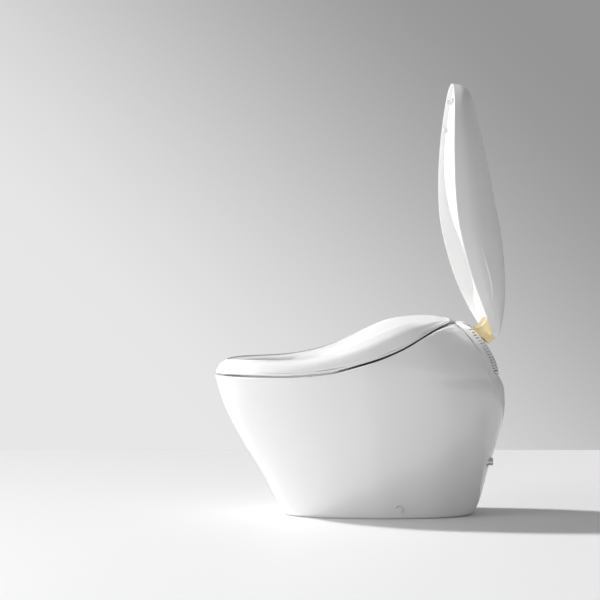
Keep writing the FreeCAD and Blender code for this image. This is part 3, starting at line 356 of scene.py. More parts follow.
FINISHES = {
    "glazed_ceramic": finish("fired white glaze", (0.86, 0.865, 0.86), (0.82, 0.825, 0.82), 0.5, 0.09, 0.05,
                             wave=(7.0, 1.0), grain=(260.0, 0.03), depth=0.0006, coat=0.5),
    "white_shell": finish("gloss white moulding", (0.87, 0.872, 0.87), (0.84, 0.842, 0.84), 0.4, 0.30, 0.06,
                          wave=(10.0, 0.4), grain=(1400.0, 0.06), depth=0.0003, coat=0.08),
    "grey_plastic": finish("satin grey moulding", (0.56, 0.57, 0.58), (0.50, 0.51, 0.52), 0.5, 0.34, 0.08,
                           grain=(2200.0, 0.5), depth=0.00012),
    "gold_bracket": finish("champagne gold bracket", (0.80, 0.62, 0.30), (0.90, 0.79, 0.55), 0.6, 0.24, 0.10,
                           wave=(30.0, 0.3), grain=(1800.0, 0.4), depth=0.00008, metal=0.85, patches=40.0),
    "white_fitting": finish("satin white fitting", (0.80, 0.80, 0.78), (0.72, 0.72, 0.70), 0.5, 0.30, 0.08,
                            grain=(2000.0, 0.4), depth=0.0001),
    "steel": finish("turned steel", (0.55, 0.56, 0.58), (0.42, 0.43, 0.45), 0.5, 0.22, 0.16,
                    wave=(60.0, 0.3), grain=(2600.0, 0.6), depth=0.00006, metal=1.0, patches=60.0),
    "brass": finish("plated brass", (0.70, 0.71, 0.72), (0.58, 0.58, 0.58), 0.4, 0.10, 0.08,
                    wave=(50.0, 0.4), grain=(900.0, 0.1), depth=0.00006, metal=1.0, patches=50.0),
    "dark_plastic": finish("dark moulding", (0.030, 0.030, 0.033), (0.055, 0.055, 0.058), 0.6, 0.42, 0.12,
                           grain=(2400.0, 0.6), depth=0.00012, patches=30.0),
    "circuit_board": finish("green solder mask", (0.010, 0.090, 0.035), (0.02, 0.14, 0.06), 0.6, 0.25, 0.12,
                            wave=(400.0, 0.6), grain=(1600.0, 0.4), depth=0.0002, patches=300.0),
    "heater_film": finish("heater foil", (0.62, 0.62, 0.63), (0.50, 0.50, 0.52), 0.6, 0.26, 0.12,
                          wave=(180.0, 0.8), grain=(1200.0, 0.3), depth=0.0002, metal=0.9, patches=80.0),
    "rubber": finish("soft pale rubber", (0.76, 0.765, 0.765), (0.68, 0.685, 0.685), 0.5, 0.62, 0.12,
                     grain=(1500.0, 0.8), depth=0.00015, patches=40.0),
}

# %% Give every carried-over part its finish
SLOT_OF = {part["node"]: part["material_slot"] for part in frame["record"]["subparts"]}
for node_name, thing in frame["nodes"].items():
    made = FINISHES[SLOT_OF[node_name]]
    if not thing.material_slots:
        thing.data.materials.append(made)
    for place in thing.material_slots:
        place.material = made
print("finishes", len(FINISHES), "parts", len(SLOT_OF))


# %% A finished piece


def piece(name, mesh_or_thing, body, slot_name, *stands_for, angle=35):
    """Names a piece, smooths it, gives it its finish and lets it ride on its body."""
    thing = mesh_or_thing if isinstance(mesh_or_thing, bpy.types.Object) else put(name, mesh_or_thing)
    thing.name = name
    thing.data.name = name
    thing.data.materials.clear()
    thing.data.materials.append(FINISHES[slot_name])
    smooth_by_angle(thing.data, angle)
    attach(thing, body)
    if stands_for:
        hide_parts(*stands_for)
    print(name, len(thing.data.polygons), "faces")
    return thing


# %% [markdown]
# ## The glazed body
#
# The body of the real toilet is one casting, fired with its glaze on, so it has no joint and no sharp edge. It is
# drawn as one closed skin: out from under the foot, up the leaning side, over the rim, across to the bowl's
# mouth and down to the sump. Only the notch, the hinge slot, the trapway and the holes for the caps are cut from it
# afterwards.

# %% Measured edges of the body, in millimetres
FRONT_EDGE = [(-531, 388), (-506, 306), (-456, 207), (-395, 108), (-350.5, 19), (-342, 0)]
BACK_EDGE = [(186, 0), (201, 30), (224, 113), (255, 212), (272, 317), (266, 362), (255.5, 383)]
COVER_EDGE = [(255.5, 383), (251, 411), (237, 444), (201.5, 494), (172, 522), (143.5, 534), (110, 541)]
SIDE_EDGE = [(125, 0), (136, 40), (165, 140), (192, 250), (207, 350), (211.5, 430), (205, 500), (198, 560)]
RIM_CURVE = [(-560, 387), (-531, 388), (-403, 389), (-340, 390), (-276, 395), (-213, 404), (-150, 421), (-86, 441),
             (-22, 468.5), (42, 504), (74, 519), (106, 528), (128, 531)]
SEAM_CURVE = [(128, 531), (149, 508), (177, 475), (204, 433), (232, 398), (262, 380)]
OVERHANG, OVERHANG_RISE = 12.0, 40.0            # above the rim the outline leans on to the front by this much
JOINT_Z = 383.0                                 # where the ceramic's back gives way to the cover's
FOOT_ROUND, RIM_ROUND, MOUTH_ROUND = 9.0, 3.5, 6.0


def outline_at(z):
    """Front, back and half width of the body at each height."""
    front = reach(FRONT_EDGE, z) - OVERHANG * np.clip((z - FRONT_EDGE[0][1]) / OVERHANG_RISE, 0, 1)
    back = np.where(z <= JOINT_Z, reach(BACK_EDGE, z), reach(COVER_EDGE, z))
    return front, back, reach(SIDE_EDGE, z)


def skin(z, inset=0.0, share_of=EVERYWHERE):
    """x and y of the outside at each height; the last axis of z runs round the outline."""
    front, back, half = outline_at(z)
    x, y = plan(front + inset, back - inset, half - inset)
    return (x * share_of).sum(-1), (y * share_of).sum(-1)


def top_of_body(y):
    """The S-curve of the rim, and behind its crest the joint with the rear cover."""
    return np.where(y <= RIM_CURVE[-1][0], height(RIM_CURVE, y), height(SEAM_CURVE, y))


# %% The bowl
BOWL_RINGS = np.array([(-473, -166, 123, 445), (-470, -168, 122, 385), (-464, -174, 118, 330), (-445, -184, 106, 275),
                       (-408, -196, 86, 228), (-352, -206, 62, 190), (-306, -214, 42, 160)], float)
SUMP = np.array([0.0, -260.0, 150.0])
MOUTH_MIDDLE = np.array([0.0, -319.0])
SETTLE_FROM, SETTLE_ROUNDS, SETTLE_KEEP, SETTLE_TAKE = 400.0, 80, 0.6, 0.4


def bowl(z):
    """x and y of the bowl's wall at each height, from the ring table."""
    front, back, half = (through(BOWL_RINGS[:, 3], BOWL_RINGS[:, k], z) for k in range(3))
    x, y = plan(front, back, half, share=0.5)
    return (x * EVERYWHERE).sum(-1), (y * EVERYWHERE).sum(-1)


def settle(where):
    """Height at which a wall meets the body's top, found in rounds: z = 0.6 z + 0.4 * the top over the wall's place
    at z."""
    z = np.full(AROUND, SETTLE_FROM)
    for _ in range(SETTLE_ROUNDS):
        z = SETTLE_KEEP * z + SETTLE_TAKE * top_of_body(where(z)[1])
    return z


def quarter(rows):
    """Even angles over a quarter turn, along which every rounded edge is drawn."""
    return np.linspace(0, np.pi / 2, rows)


FOOT_ROWS, WALL_ROWS, ROLL_ROWS, TOP_ROWS, LIP_ROWS, BOWL_ROWS, SUMP_ROWS = 9, 104, 7, 46, 7, 44, 8
edge_z, mouth_z = settle(skin), settle(bowl)
foot = [stack(*skin(FOOT_ROUND * (1 - np.cos(a)) + 0 * edge_z, FOOT_ROUND * (1 - np.sin(a))),
              FOOT_ROUND * (1 - np.cos(a))) for a in quarter(FOOT_ROWS)]
rise = np.linspace(0, 1, WALL_ROWS)[1:-1, None]
wall_z = FOOT_ROUND + (edge_z - RIM_ROUND - FOOT_ROUND) * rise
wall = stack(*skin(wall_z), wall_z)
roll = []
for a in quarter(ROLL_ROWS):
    z = edge_z - RIM_ROUND * (1 - np.sin(a))
    roll.append(stack(*skin(z, RIM_ROUND * (1 - np.cos(a))), z))
outer, (mouth_x, mouth_y) = roll[-1], bowl(mouth_z)
open_by = 1 + MOUTH_ROUND / np.hypot(mouth_x - MOUTH_MIDDLE[0], mouth_y - MOUTH_MIDDLE[1])
lip_x = MOUTH_MIDDLE[0] + (mouth_x - MOUTH_MIDDLE[0]) * open_by
lip_y = MOUTH_MIDDLE[1] + (mouth_y - MOUTH_MIDDLE[1]) * open_by
across = []
for w in np.linspace(0, 1, TOP_ROWS)[1:]:
    x, y = outer[:, 0] + (lip_x - outer[:, 0]) * w, outer[:, 1] + (lip_y - outer[:, 1]) * w
    across.append(stack(x, y, top_of_body(y)))
lip = []
for a in quarter(LIP_ROWS)[1:]:
    x, y = lip_x + (mouth_x - lip_x) * np.sin(a), lip_y + (mouth_y - lip_y) * np.sin(a)
    lip.append(stack(x, y, top_of_body(y) - MOUTH_ROUND * (1 - np.cos(a))))
inside_z = lip[-1][:, 2] + (BOWL_RINGS[-1, 3] - lip[-1][:, 2]) * np.linspace(0, 1, BOWL_ROWS)[1:, None]
inside = stack(*bowl(inside_z), inside_z)
last = inside[-1]
sump = [last + (SUMP - last) * np.array([w, w, math.sin(w * np.pi / 2)])
        for w in np.linspace(0, 1, SUMP_ROWS)[1:]]
body_grid = np.concatenate([[pole(foot[0])], foot, wall, roll, across, lip, inside, sump])
body_mesh = grid_mesh("ceramic_skin", body_grid)
print("body grid", body_grid.shape, "rim from", edge_z.min().round(1), "to", edge_z.max().round(1), "mm")

# %% [markdown]
# A notch behind the bowl lets the washing wand out, and a slot in the crest leaves room for the lid's hinge. The
# trapway is a real passage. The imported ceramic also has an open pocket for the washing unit. This skin stays closed
# there, two millimetres above the unit's cover, so it is the skin that shows when the seat is up.

# %% Cut the notch, the hinge slot, the trapway and the holes for the caps
NOTCH_HALF, NOTCH_FRONT, NOTCH_BACK, NOTCH_FLOOR = 78.0, -208.0, -113.0, 376.0
CREST_SLOT_HALF, CREST_SLOT_FRONT, CREST_SLOT_BACK, CREST_SLOT_FLOOR = 67.0, 112.0, 300.0, 500.0
SKY = 700.0                                     # above everything that is cut
CAP_Y, CAP_Z, CAP_R, CAP_X = -30.0, 28.0, 11.0, 130.0
CAP_ROOM, CAP_HOLE_DEEP = 0.35, 40.0
TRAP_R = 27.0
TRAP_LINE = np.array([(-292, 186), (-262, 140), (-226, 108), (-186, 128), (-150, 185), (-104, 224), (-52, 222),
                      (-14, 186), (-1, 130), (0, 60), (0, -20)], float)


def block(half, y0, y1, z0, z1):
    """Box from -half to half: a rectangle in y and z, pushed along x."""
    return prism([(y0, z0), (y1, z0), (y1, z1), (y0, z1)], -half, half)


def tube(line, radius, sides=28, samples=60):
    """A circle carried along a smooth line in the middle plane: centre + radius * (sin a * x + cos a * across), where
    across is the line's direction turned by a quarter."""
    length = np.concatenate([[0], np.cumsum(np.hypot(*np.diff(line, axis=0).T))])
    at = np.linspace(0, length[-1], samples)
    centre = through(length, line, at)
    ahead = np.gradient(centre, axis=0)
    ahead /= np.linalg.norm(ahead, axis=1)[:, None]
    a = np.arange(sides) * 2 * np.pi / sides
    y = centre[:, 0, None] - ahead[:, 1, None] * np.cos(a) * radius
    z = centre[:, 1, None] + ahead[:, 0, None] * np.cos(a) * radius
    grid = stack(np.sin(a) * radius + 0 * y, y, z)
    return grid_mesh("tube", np.concatenate([[pole(grid[0])], grid, [pole(grid[-1])]]))


def bore(radius, deep, start, axis, sides=48):
    """Closed cylinder to cut a round hole with, from start along its axis."""
    return grid_mesh("bore", lathe([(0, 0), (0, radius), (deep, radius), (deep, 0)], start, axis, sides))


cap_holes = [bore(CAP_R + CAP_ROOM, CAP_HOLE_DEEP, (s * CAP_X, CAP_Y, CAP_Z), (s, 0, 0)) for s in (-1, 1)]
body = put("ceramic_skin", body_mesh)
carve(body, block(NOTCH_HALF, NOTCH_FRONT, NOTCH_BACK, NOTCH_FLOOR, SKY),
      block(CREST_SLOT_HALF, CREST_SLOT_FRONT, CREST_SLOT_BACK, CREST_SLOT_FLOOR, SKY),
      tube(TRAP_LINE, TRAP_R), *cap_holes)
piece("ceramic_skin", body, "base", "glazed_ceramic", "ceramic_body", angle=40)

# %% [markdown]
# ## The rear cover
#
# The plastic cover continues the body's skin behind the crest, so it is the same formula as the body, taken only
# where it lies behind the joint. At each height the columns run from one side of the joint to the other.
# Solidify gives it the wall of a moulding, and the window for the hinge and the vent slots are cut through.

# %% The cover's skin
SEAM_GAP = 1.0
COVER_WALL = 3.0
CREST_Y = RIM_CURVE[-1][0] + SEAM_GAP
COVER_BOTTOM, COVER_TOP = 383.5, 541.0          # the levels between which the cover's real ends are looked for
LEVELS, COVER_ROWS, COVER_COLUMNS = 4000, 121, 97
CLEAR_BEHIND = 0.02                             # how far the outline has to lie behind the joint to count
REARMOST = RING / 4                             # the outline's place in the middle of the back
SEAM_STEPS, HALVINGS = 200, 40
seam_z = np.linspace(SEAM_CURVE[-1][1], SEAM_CURVE[0][1], SEAM_STEPS)
seam_y = through([p[1] for p in SEAM_CURVE], [p[0] for p in SEAM_CURVE], seam_z) + SEAM_GAP


def place_at(z, target):
    """Place round the outline, between its side and its back, where y reaches the target; found by halving."""
    low, high = np.zeros_like(z), np.full_like(z, REARMOST)
    for _ in range(HALVINGS):
        mid = (low + high) / 2
        beyond = skin(z, share_of=weights(mid))[1] > target
        low, high = np.where(beyond, low, mid), np.where(beyond, mid, high)
    return (low + high) / 2


def back_of(z):
    """Rearmost y of the outside at each height."""
    return skin(z, share_of=weights(np.full_like(z, REARMOST)))[1]


fine = np.linspace(COVER_BOTTOM, COVER_TOP, LEVELS)
behind = back_of(fine) > np.maximum(np.interp(fine, seam_z, seam_y), CREST_Y) + CLEAR_BEHIND
low_z, high_z = fine[behind][0], fine[behind][-1]
spread = (1 - np.cos(np.linspace(0, np.pi, COVER_ROWS))) / 2
cover_z = low_z + (high_z - low_z) * spread
first = place_at(cover_z, np.maximum(np.interp(cover_z, seam_z, seam_y), CREST_Y))
first[[0, -1]] = REARMOST
side = np.linspace(-1, 1, COVER_COLUMNS)
places = REARMOST + (REARMOST - first)[:, None] * side
cz = np.broadcast_to(cover_z[:, None], places.shape)
x, y = skin(cz, share_of=weights(places))
cover = put("rear_cover_skin", grid_mesh("rear_cover_skin", stack(x, y, cz), around=False))
print("cover from", round(low_z, 1), "to", round(high_z, 1), "mm, half width", round(float(np.abs(x).max()), 1))

# %% Wall, window, vent slots and button holes
HINGE_Y, HINGE_Z = 152.6, 500.3
BARREL_R, BARREL_ROOM, BARREL_HALF = 31.0, 33.0, 47.5
ARM_HALF, ARM_BACK, HUB_ROOM = 66.0, HINGE_Y + 31, 21.0
ROOM_FRONT, BARREL_BACK, ROOM_FLOOR, ROOM_TOP = 100.0, 230.0, HINGE_Z - 14, 620.0
VENT_LOW, VENT_PITCH, VENT_ROWS, VENT_HALF = 402.0, 7.5, 16, 1.5
VENT_SPANS = ((66.0, 77.0), (80.0, 100.0), (103.0, 106.5))      # degrees round the outline, low on the back
VENT_SPANS_HIGH, HIGH_ROWS_FROM = ((66.0, 74.0),), HINGE_Z - 22  # only this side of the hinge's window
VENT_STEPS, VENT_SIDES, VENT_SINK, VENT_REACH, VENT_AIM_Y = 16, 10, 1.0, 8.0, 20.0
BUTTON_TURN, BUTTON_R, BUTTON_HEIGHTS = 110.0, 6.5, {"button_flush": 471.0, "button_stop": 450.0}
BUTTON_ROOM, BUTTON_SINK, BUTTON_HOLE_DEEP = 0.3, 14.0, 26.0

wall = cover.modifiers.new("wall", "SOLIDIFY")
wall.thickness, wall.offset = COVER_WALL * MM, -1.0
cover.data = tidy_mesh(bpy.data.meshes.new_from_object(cover.evaluated_get(bpy.context.evaluated_depsgraph_get())))
cover.modifiers.clear()


def skin_point(z, degrees):
    """A point of the outside and its outward normal: the cross product of the ways round and up from it."""
    def at(level, turn):
        level = np.array([float(level)])
        x, y = skin(level, share_of=weights(np.array([turn / DEGREES_PER_PLACE])))
        return np.array([x[0], y[0], level[0]])
    out = np.cross(at(z, degrees + 0.5) - at(z, degrees - 0.5), at(z + 1, degrees) - at(z - 1, degrees))
    return at(z, degrees), out / np.linalg.norm(out)


def slots():
    """Cutters for the vent grid's long level slots. Each follows the outline between two turns. Its section is an
    ellipse across the wall: half * sin a up, and sink + reach * cos a inwards, towards the middle of the toilet."""
    pieces = []
    a = np.arange(VENT_SIDES) * 2 * np.pi / VENT_SIDES
    for row in range(VENT_ROWS):
        z = VENT_LOW + VENT_PITCH * row
        for start, end in VENT_SPANS if z < HIGH_ROWS_FROM else VENT_SPANS_HIGH:
            turn = np.linspace(start, end, VENT_STEPS)[:, None]
            level = z + VENT_HALF * np.sin(a) + 0 * turn
            inset = VENT_SINK + VENT_REACH * np.cos(a) + 0 * turn
            x, y = skin(level, 0.0, weights((turn + 0 * a) / DEGREES_PER_PLACE))
            away = np.hypot(x, y - VENT_AIM_Y)
            grid = stack(x - x / away * inset, y - (y - VENT_AIM_Y) / away * inset, level)
            pieces.append(grid_mesh("slot", np.concatenate([[pole(grid[0])], grid, [pole(grid[-1])]])))
    return pieces


vents = slots()


def round_room(half, radius):
    """Cylinder about the hinge line, from -half to half."""
    return bore(radius, 2 * half, (-half, HINGE_Y, HINGE_Z), (1, 0, 0), 64)


rooms = [block(BARREL_HALF, ROOM_FRONT, BARREL_BACK, ROOM_FLOOR, ROOM_TOP), round_room(BARREL_HALF, BARREL_ROOM),
         block(ARM_HALF, ROOM_FRONT, ARM_BACK, ROOM_FLOOR, ROOM_TOP), round_room(ARM_HALF, HUB_ROOM)]
holes = []
for z in BUTTON_HEIGHTS.values():
    spot, out = skin_point(z, BUTTON_TURN)
    holes.append(bore(BUTTON_R + BUTTON_ROOM, BUTTON_HOLE_DEEP, spot - out * BUTTON_SINK, out))
carve(cover, *rooms, joined("vents", vents), *holes)
piece("rear_cover_skin", cover, "base", "white_shell", "rear_cover", angle=30)
print("vent slots", len(vents))

# %% [markdown]
# ## The heated seat
#
# The seat is a closed ring with a long swooping back. Its section changes all the way round, but it always has
# the same stations: lower edge, shoulder, crest, inner slope, lip of the hole. Each station is an outline with
# its own height over y, and a smooth curve is drawn through the stations at every column.

# %% The seat's stations
SEAT_FRONT, SEAT_BACK, SEAT_HALF, SEAT_SHARE = -526.5, 117.0, 205.0, 0.66
HOLE_FRONT, HOLE_BACK, HOLE_HALF = -452.0, -164.0, 105.0
SEAT_GAP, PLATE = 6.0, 6.0                      # over the rim, and the base plate's thickness
SEAT_FLOOR = PLATE + 0.1                        # the top shell's lower edge above the plate's underside
LEAST_RISE = 7.0                                # the crest's least height above the underside
SEAT_ROWS, SEAT_FLOOR_ROWS = 64, 7
SHOULDER = [(-560, 15), (-440, 18), (-204, 25), (-81, 21), (42, 17), (120, 5)]
SEAT_CREST = [(-560, 424), (-524, 425), (-483, 430), (-417, 432), (-328, 434), (-284, 439), (-240, 447), (-196, 460),
              (-152, 476), (-108, 495), (-63.5, 517), (-19, 532), (25, 541), (69, 546), (91, 546), (113, 541),
              (125, 536)]


def underside(y):
    """Height of the seat's underside: the rim's curve and the gap."""
    return height(RIM_CURVE, y) + SEAT_GAP


def shoulder_z(y, drop=0.0):
    """Height of the shoulder: the underside and a rise that changes along the seat."""
    return underside(y) + height(SHOULDER, y) - drop


def crest_z(y, down=0.0):
    """Height of the crest, or some way down from it, but never below its least rise."""
    return np.maximum(height(SEAT_CREST, y) - down, underside(y) + LEAST_RISE)


def seat_station(share, level, tuck=None):
    """One outline of the seat at a height worked out from y: share of the way from the hole to the outside, or
    tuck millimetres in from the outside."""
    x, y = plan(SEAT_FRONT + (tuck or 0), SEAT_BACK - (tuck or 0), SEAT_HALF - (tuck or 0), share=SEAT_SHARE)
    if tuck is None:
        hx, hy = plan(HOLE_FRONT, HOLE_BACK, HOLE_HALF, share=0.5)
        x, y = hx + (x - hx) * share, hy + (y - hy) * share
    ring = stack(x, y, level(y))
    return EVERYWHERE @ ring


def along(stations, samples):
    """Smooth curve through stations at every column, sampled at even steps of their mean distance."""
    stations = np.array(stations)
    gaps = np.linalg.norm(np.diff(stations, axis=0), axis=-1).mean(1)
    knots = np.concatenate([[0], np.cumsum(gaps)])
    return through(knots, stations, np.linspace(0, knots[-1], samples))


over = along([
    seat_station(0, lambda y: underside(y) + SEAT_FLOOR, tuck=0.6),
    seat_station(0, lambda y: 0.5 * (underside(y) + SEAT_FLOOR) + 0.5 * shoulder_z(y, 4), tuck=0.6),
    seat_station(0, lambda y: shoulder_z(y, 4), tuck=3.0),
    seat_station(0, lambda y: 0.45 * shoulder_z(y) + 0.55 * crest_z(y, 3), tuck=10.0),
    seat_station(0, lambda y: crest_z(y, 1), tuck=24.0),
    seat_station(0.62, crest_z),
    seat_station(0.34, lambda y: crest_z(y, 3)),
    seat_station(0.12, lambda y: crest_z(y, 9)),
    seat_station(0.0, lambda y: 0.5 * (underside(y) + crest_z(y, 12))),
    seat_station(0.0, lambda y: underside(y) + SEAT_FLOOR)], SEAT_ROWS)
under = over[-1] + (over[0] - over[-1]) * np.linspace(0, 1, SEAT_FLOOR_ROWS)[1:-1, None, None]
under[..., 2] = underside(under[..., 1]) + SEAT_FLOOR
seat_mesh = grid_mesh("seat_top_skin", np.concatenate([over, under]), along=True)
piece("seat_top_skin", seat_mesh, "seat", "white_shell", "seat_top_shell", angle=50)

# %% [markdown]
# ## The lid
#
# The lid is a deep shell with a rolled rim. It is drawn closed, where its plan and rim are easy to state, and
# then turned to its open rest position about the hinge line, as a real lid is. The inner panel closes the hollow
# and carries a shallow moulded step, which the light picks out on the side towards the room.

# %% The lid's shell, drawn closed
LID_FRONT, LID_BACK, LID_HALF, LID_SHARE = -535.0, 160.0, 210.0, 0.62
LID_WALL, LID_OPEN = 4.0, math.radians(93)
LID_MIDDLE_Y = -185.0
LID_ROWS, HOLLOW_ROWS, BEAD_ROWS = 90, 50, 9
LID_RIM = [(-545, 436), (-528, 434.7), (-462, 432.7), (-379, 431.6), (-296, 433.8), (-214, 439.7), (-132, 455.5),
           (-50, 479), (31, 512.5), (112, 554), (144, 573), (165, 585)]
LID_RISE = [(-535, 92), (-507, 90), (-466, 84), (-384, 96), (-302, 111), (-220, 122), (-138, 127), (-56, 120),
            (26, 101), (109, 71), (160, 50)]
LID_STATIONS = ((0.985, 0.34), (0.955, 0.50), (0.90, 0.655), (0.82, 0.80), (0.70, 0.905), (0.52, 0.975),
                (0.30, 0.997), (0.10, 1.0))


def crown_z(y):
    """Height of the closed lid's middle line: its rim and its full rise."""
    return height(LID_RIM, y) + height(LID_RISE, y)


def opened(grid):
    """Turns a grid from closed to open about the hinge line."""
    y, z = grid[..., 1] - HINGE_Y, grid[..., 2] - HINGE_Z
    c, s = math.cos(LID_OPEN), -math.sin(LID_OPEN)
    return stack(grid[..., 0], HINGE_Y + c * y - s * z, HINGE_Z + s * y + c * z)


def lid_station(share, rise, inset=0.0, down=0.0):
    """One outline of the lid: the plan shrunk to a share about its middle, at the rim's height and a share of the
    rise."""
    x, y = plan(LID_FRONT + inset, LID_BACK - inset, LID_HALF - inset, share=LID_SHARE)
    x, y = x * share, LID_MIDDLE_Y + (y - LID_MIDDLE_Y) * share
    return EVERYWHERE @ stack(x, y, height(LID_RIM, y) + height(LID_RISE, y) * rise - down)


def lid_side(inset, down, samples):
    """One face of the shell, from its rim to the middle of its crown."""
    start = lid_station(1.0, 0.0, inset) + np.array([0, 0, LID_WALL / 2])
    stations = [start] + [lid_station(s, r, inset, down) for s, r in LID_STATIONS]
    stations.append(np.broadcast_to([0, LID_MIDDLE_Y, crown_z(np.array(LID_MIDDLE_Y)) - down], start.shape))
    return along(stations, samples)


outside, hollow = lid_side(0, 0, LID_ROWS), lid_side(LID_WALL, LID_WALL, HOLLOW_ROWS)
bead = []
for a in np.linspace(0, np.pi, BEAD_ROWS)[1:-1]:
    row = outside[0] + (hollow[0] - outside[0]) * (1 - math.cos(a)) / 2
    bead.append(row - np.array([0, 0, LID_WALL / 2 * math.sin(a)]))
lid_grid = opened(np.concatenate([outside[::-1], bead, hollow]))
lid_mesh = grid_mesh("lid_skin", lid_grid)
piece("lid_skin", lid_mesh, "lid", "white_shell", "lid_outer_shell", angle=60)

# %% The lid's inner panel
PANEL_CURVE = [(-545, 449), (-520, 447), (-462, 445), (-379, 444), (-328, 446), (-284, 451), (-240, 458), (-196, 470),
               (-152, 487), (-108, 505), (-63, 526), (-19, 541), (25, 551), (69, 556), (112, 567), (144, 585),
               (165, 597)]
PANEL_INSET, PANEL_THICK, STEP_AT, STEP_DEEP, STEP_SHARP = 4.6, 3.0, 0.80, 1.4, 160


def panel_row(share, lift):
    """The panel at a share of its size. Inside the step it lies deeper by deep / (1 + e^(sharp * (share - at)))."""
    x, y = plan(LID_FRONT + PANEL_INSET, LID_BACK - PANEL_INSET, LID_HALF - PANEL_INSET, share=LID_SHARE)
    x, y = x * share, LID_MIDDLE_Y + (y - LID_MIDDLE_Y) * share
    deeper = STEP_DEEP * (1 / (1 + np.exp((share - STEP_AT) * STEP_SHARP)))
    return EVERYWHERE @ stack(x, y, height(PANEL_CURVE, y) + lift + (deeper if lift == 0 else 0))


shares = np.concatenate([np.linspace(1, 0.85, 8), np.linspace(0.84, 0.76, 14), np.linspace(0.74, 0, 22)])
panel_grid = opened(np.concatenate([[panel_row(s, 0) for s in shares[::-1]],
                                    [panel_row(s, PANEL_THICK) for s in shares]]))
piece("lid_panel_skin", grid_mesh("lid_panel_skin", panel_grid), "lid", "white_shell", "lid_inner_panel", angle=50)

# %% [markdown]
# ## The golden hinge bracket
#
# A small metal bracket joins the lid to its hinge barrel, and it is the only colour on the toilet. Its side view
# is a polygon with rounded corners; each corner is a short curve, and the ends are drawn in so its edges shine.

# %% Rounded profile, pushed along x
BRACKET = [(178, 513), (203, 521), (222, 549), (234, 545), (247, 491), (224, 472), (208, 490), (176, 489)]
BRACKET_HALF, BRACKET_CORNER = 38.0, 4.0


def rounded(points, radius, steps=6):
    """Cuts each corner back by radius and bends round it: p = (1-s)^2 a + 2 s (1-s) corner + s^2 b."""
    points = np.asarray(points, float)
    before, after = np.roll(points, 1, 0) - points, np.roll(points, -1, 0) - points
    a = points + before / np.linalg.norm(before, axis=1)[:, None] * radius
    b = points + after / np.linalg.norm(after, axis=1)[:, None] * radius
    s = np.linspace(0, 1, steps)[None, :, None]
    return ((1 - s) ** 2 * a[:, None] + 2 * s * (1 - s) * points[:, None] + s ** 2 * b[:, None]).reshape(-1, 2)


def pushed(profile, half, soft=1.6, steps=5):
    """Block with a rounded profile from -half to half. Near each end the profile shrinks by soft * (1 - sin a) while
    x falls short of the end by soft * (1 - cos a)."""
    centre = profile.mean(0)
    size = np.linalg.norm(profile - centre, axis=1)[:, None]
    rows = []
    for s in (-1, 1):
        ends = []
        for a in quarter(steps):
            small = centre + (profile - centre) * (1 - soft * (1 - np.sin(a)) / size)
            ends.append(stack(s * (half - soft * (1 - np.cos(a))), small[:, 0], small[:, 1]))
        rows.append(ends if s < 0 else ends[::-1])
    grid = rows[0] + rows[1]
    return grid_mesh("pushed", np.array([pole(grid[0]), *grid, pole(grid[-1])]))


bracket = put("hinge_bracket", pushed(rounded(BRACKET, BRACKET_CORNER), BRACKET_HALF))
carve(bracket, round_room(BARREL_HALF, BARREL_R))
piece("hinge_bracket", bracket, "lid", "gold_bracket", "lid_hinge_bracket", angle=30)

# %% [markdown]
# ## Caps on the sides of the foot
#
# A round cap hides each fixing screw. It is a turned shape: a crowned face, a soft edge and a short skirt.

# %% Turned caps
CAP_PROFILE = [(0.1, 0), (0.1, CAP_R - 1.0), (0.1, CAP_R), (1.6, CAP_R), (2.3, CAP_R - 0.25), (2.7, CAP_R - 0.8),
               (2.95, CAP_R - 2.0), (3.15, CAP_R * 0.6), (3.28, CAP_R * 0.3), (3.3, 0)]
cap_grids = [lathe(CAP_PROFILE, (s * CAP_X, CAP_Y, CAP_Z), (s, 0, 0)) for s in (-1, 1)]
caps = joined("foot_caps", [grid_mesh("cap", grid) for grid in cap_grids])
piece("foot_caps", caps, "base", "white_fitting", "screw_caps", angle=40)

# %% [markdown]
# ## Floor, light and camera
#
# The room is a pale floor that ends at a pale wall. The wall is only the world's colour, so that it never stands
# between the object and a camera behind it; it is brightest low on the left, where a window would be, and fades
# smoothly across. The main light is far away, so its shadow keeps an even edge: it comes from in front of the
# toilet and a little from its far side. A weak soft lamp and the pale floor light the side that we look at.

# %% Floor and background
AZIMUTH = math.radians(87)
FLOOR_EDGE, FLOOR_NEAR, FLOOR_SIDE = 1.555, 14.0, 9.0           # metres
FLOOR_COLOUR, FLOOR_ROUGHNESS = (0.88, 0.88, 0.88, 1), 0.55
towards = np.array([math.sin(AZIMUTH), -math.cos(AZIMUTH), 0.0])
sideways = np.array([math.cos(AZIMUTH), math.sin(AZIMUTH), 0.0])
corners = np.array([[away * towards - FLOOR_SIDE * sideways, away * towards + FLOOR_SIDE * sideways]
                    for away in (-FLOOR_EDGE, FLOOR_NEAR)]) / MM
floor = put("floor", grid_mesh("floor", corners, around=False))
if floor.data.polygons[0].normal.z < 0:
    floor.data.flip_normals()
paint = bpy.data.materials.new("pale floor")
paint.use_nodes = True
paint.node_tree.nodes["Principled BSDF"].inputs["Base Color"].default_value = FLOOR_COLOUR
paint.node_tree.nodes["Principled BSDF"].inputs["Roughness"].default_value = FLOOR_ROUGHNESS
floor.data.materials.append(paint)

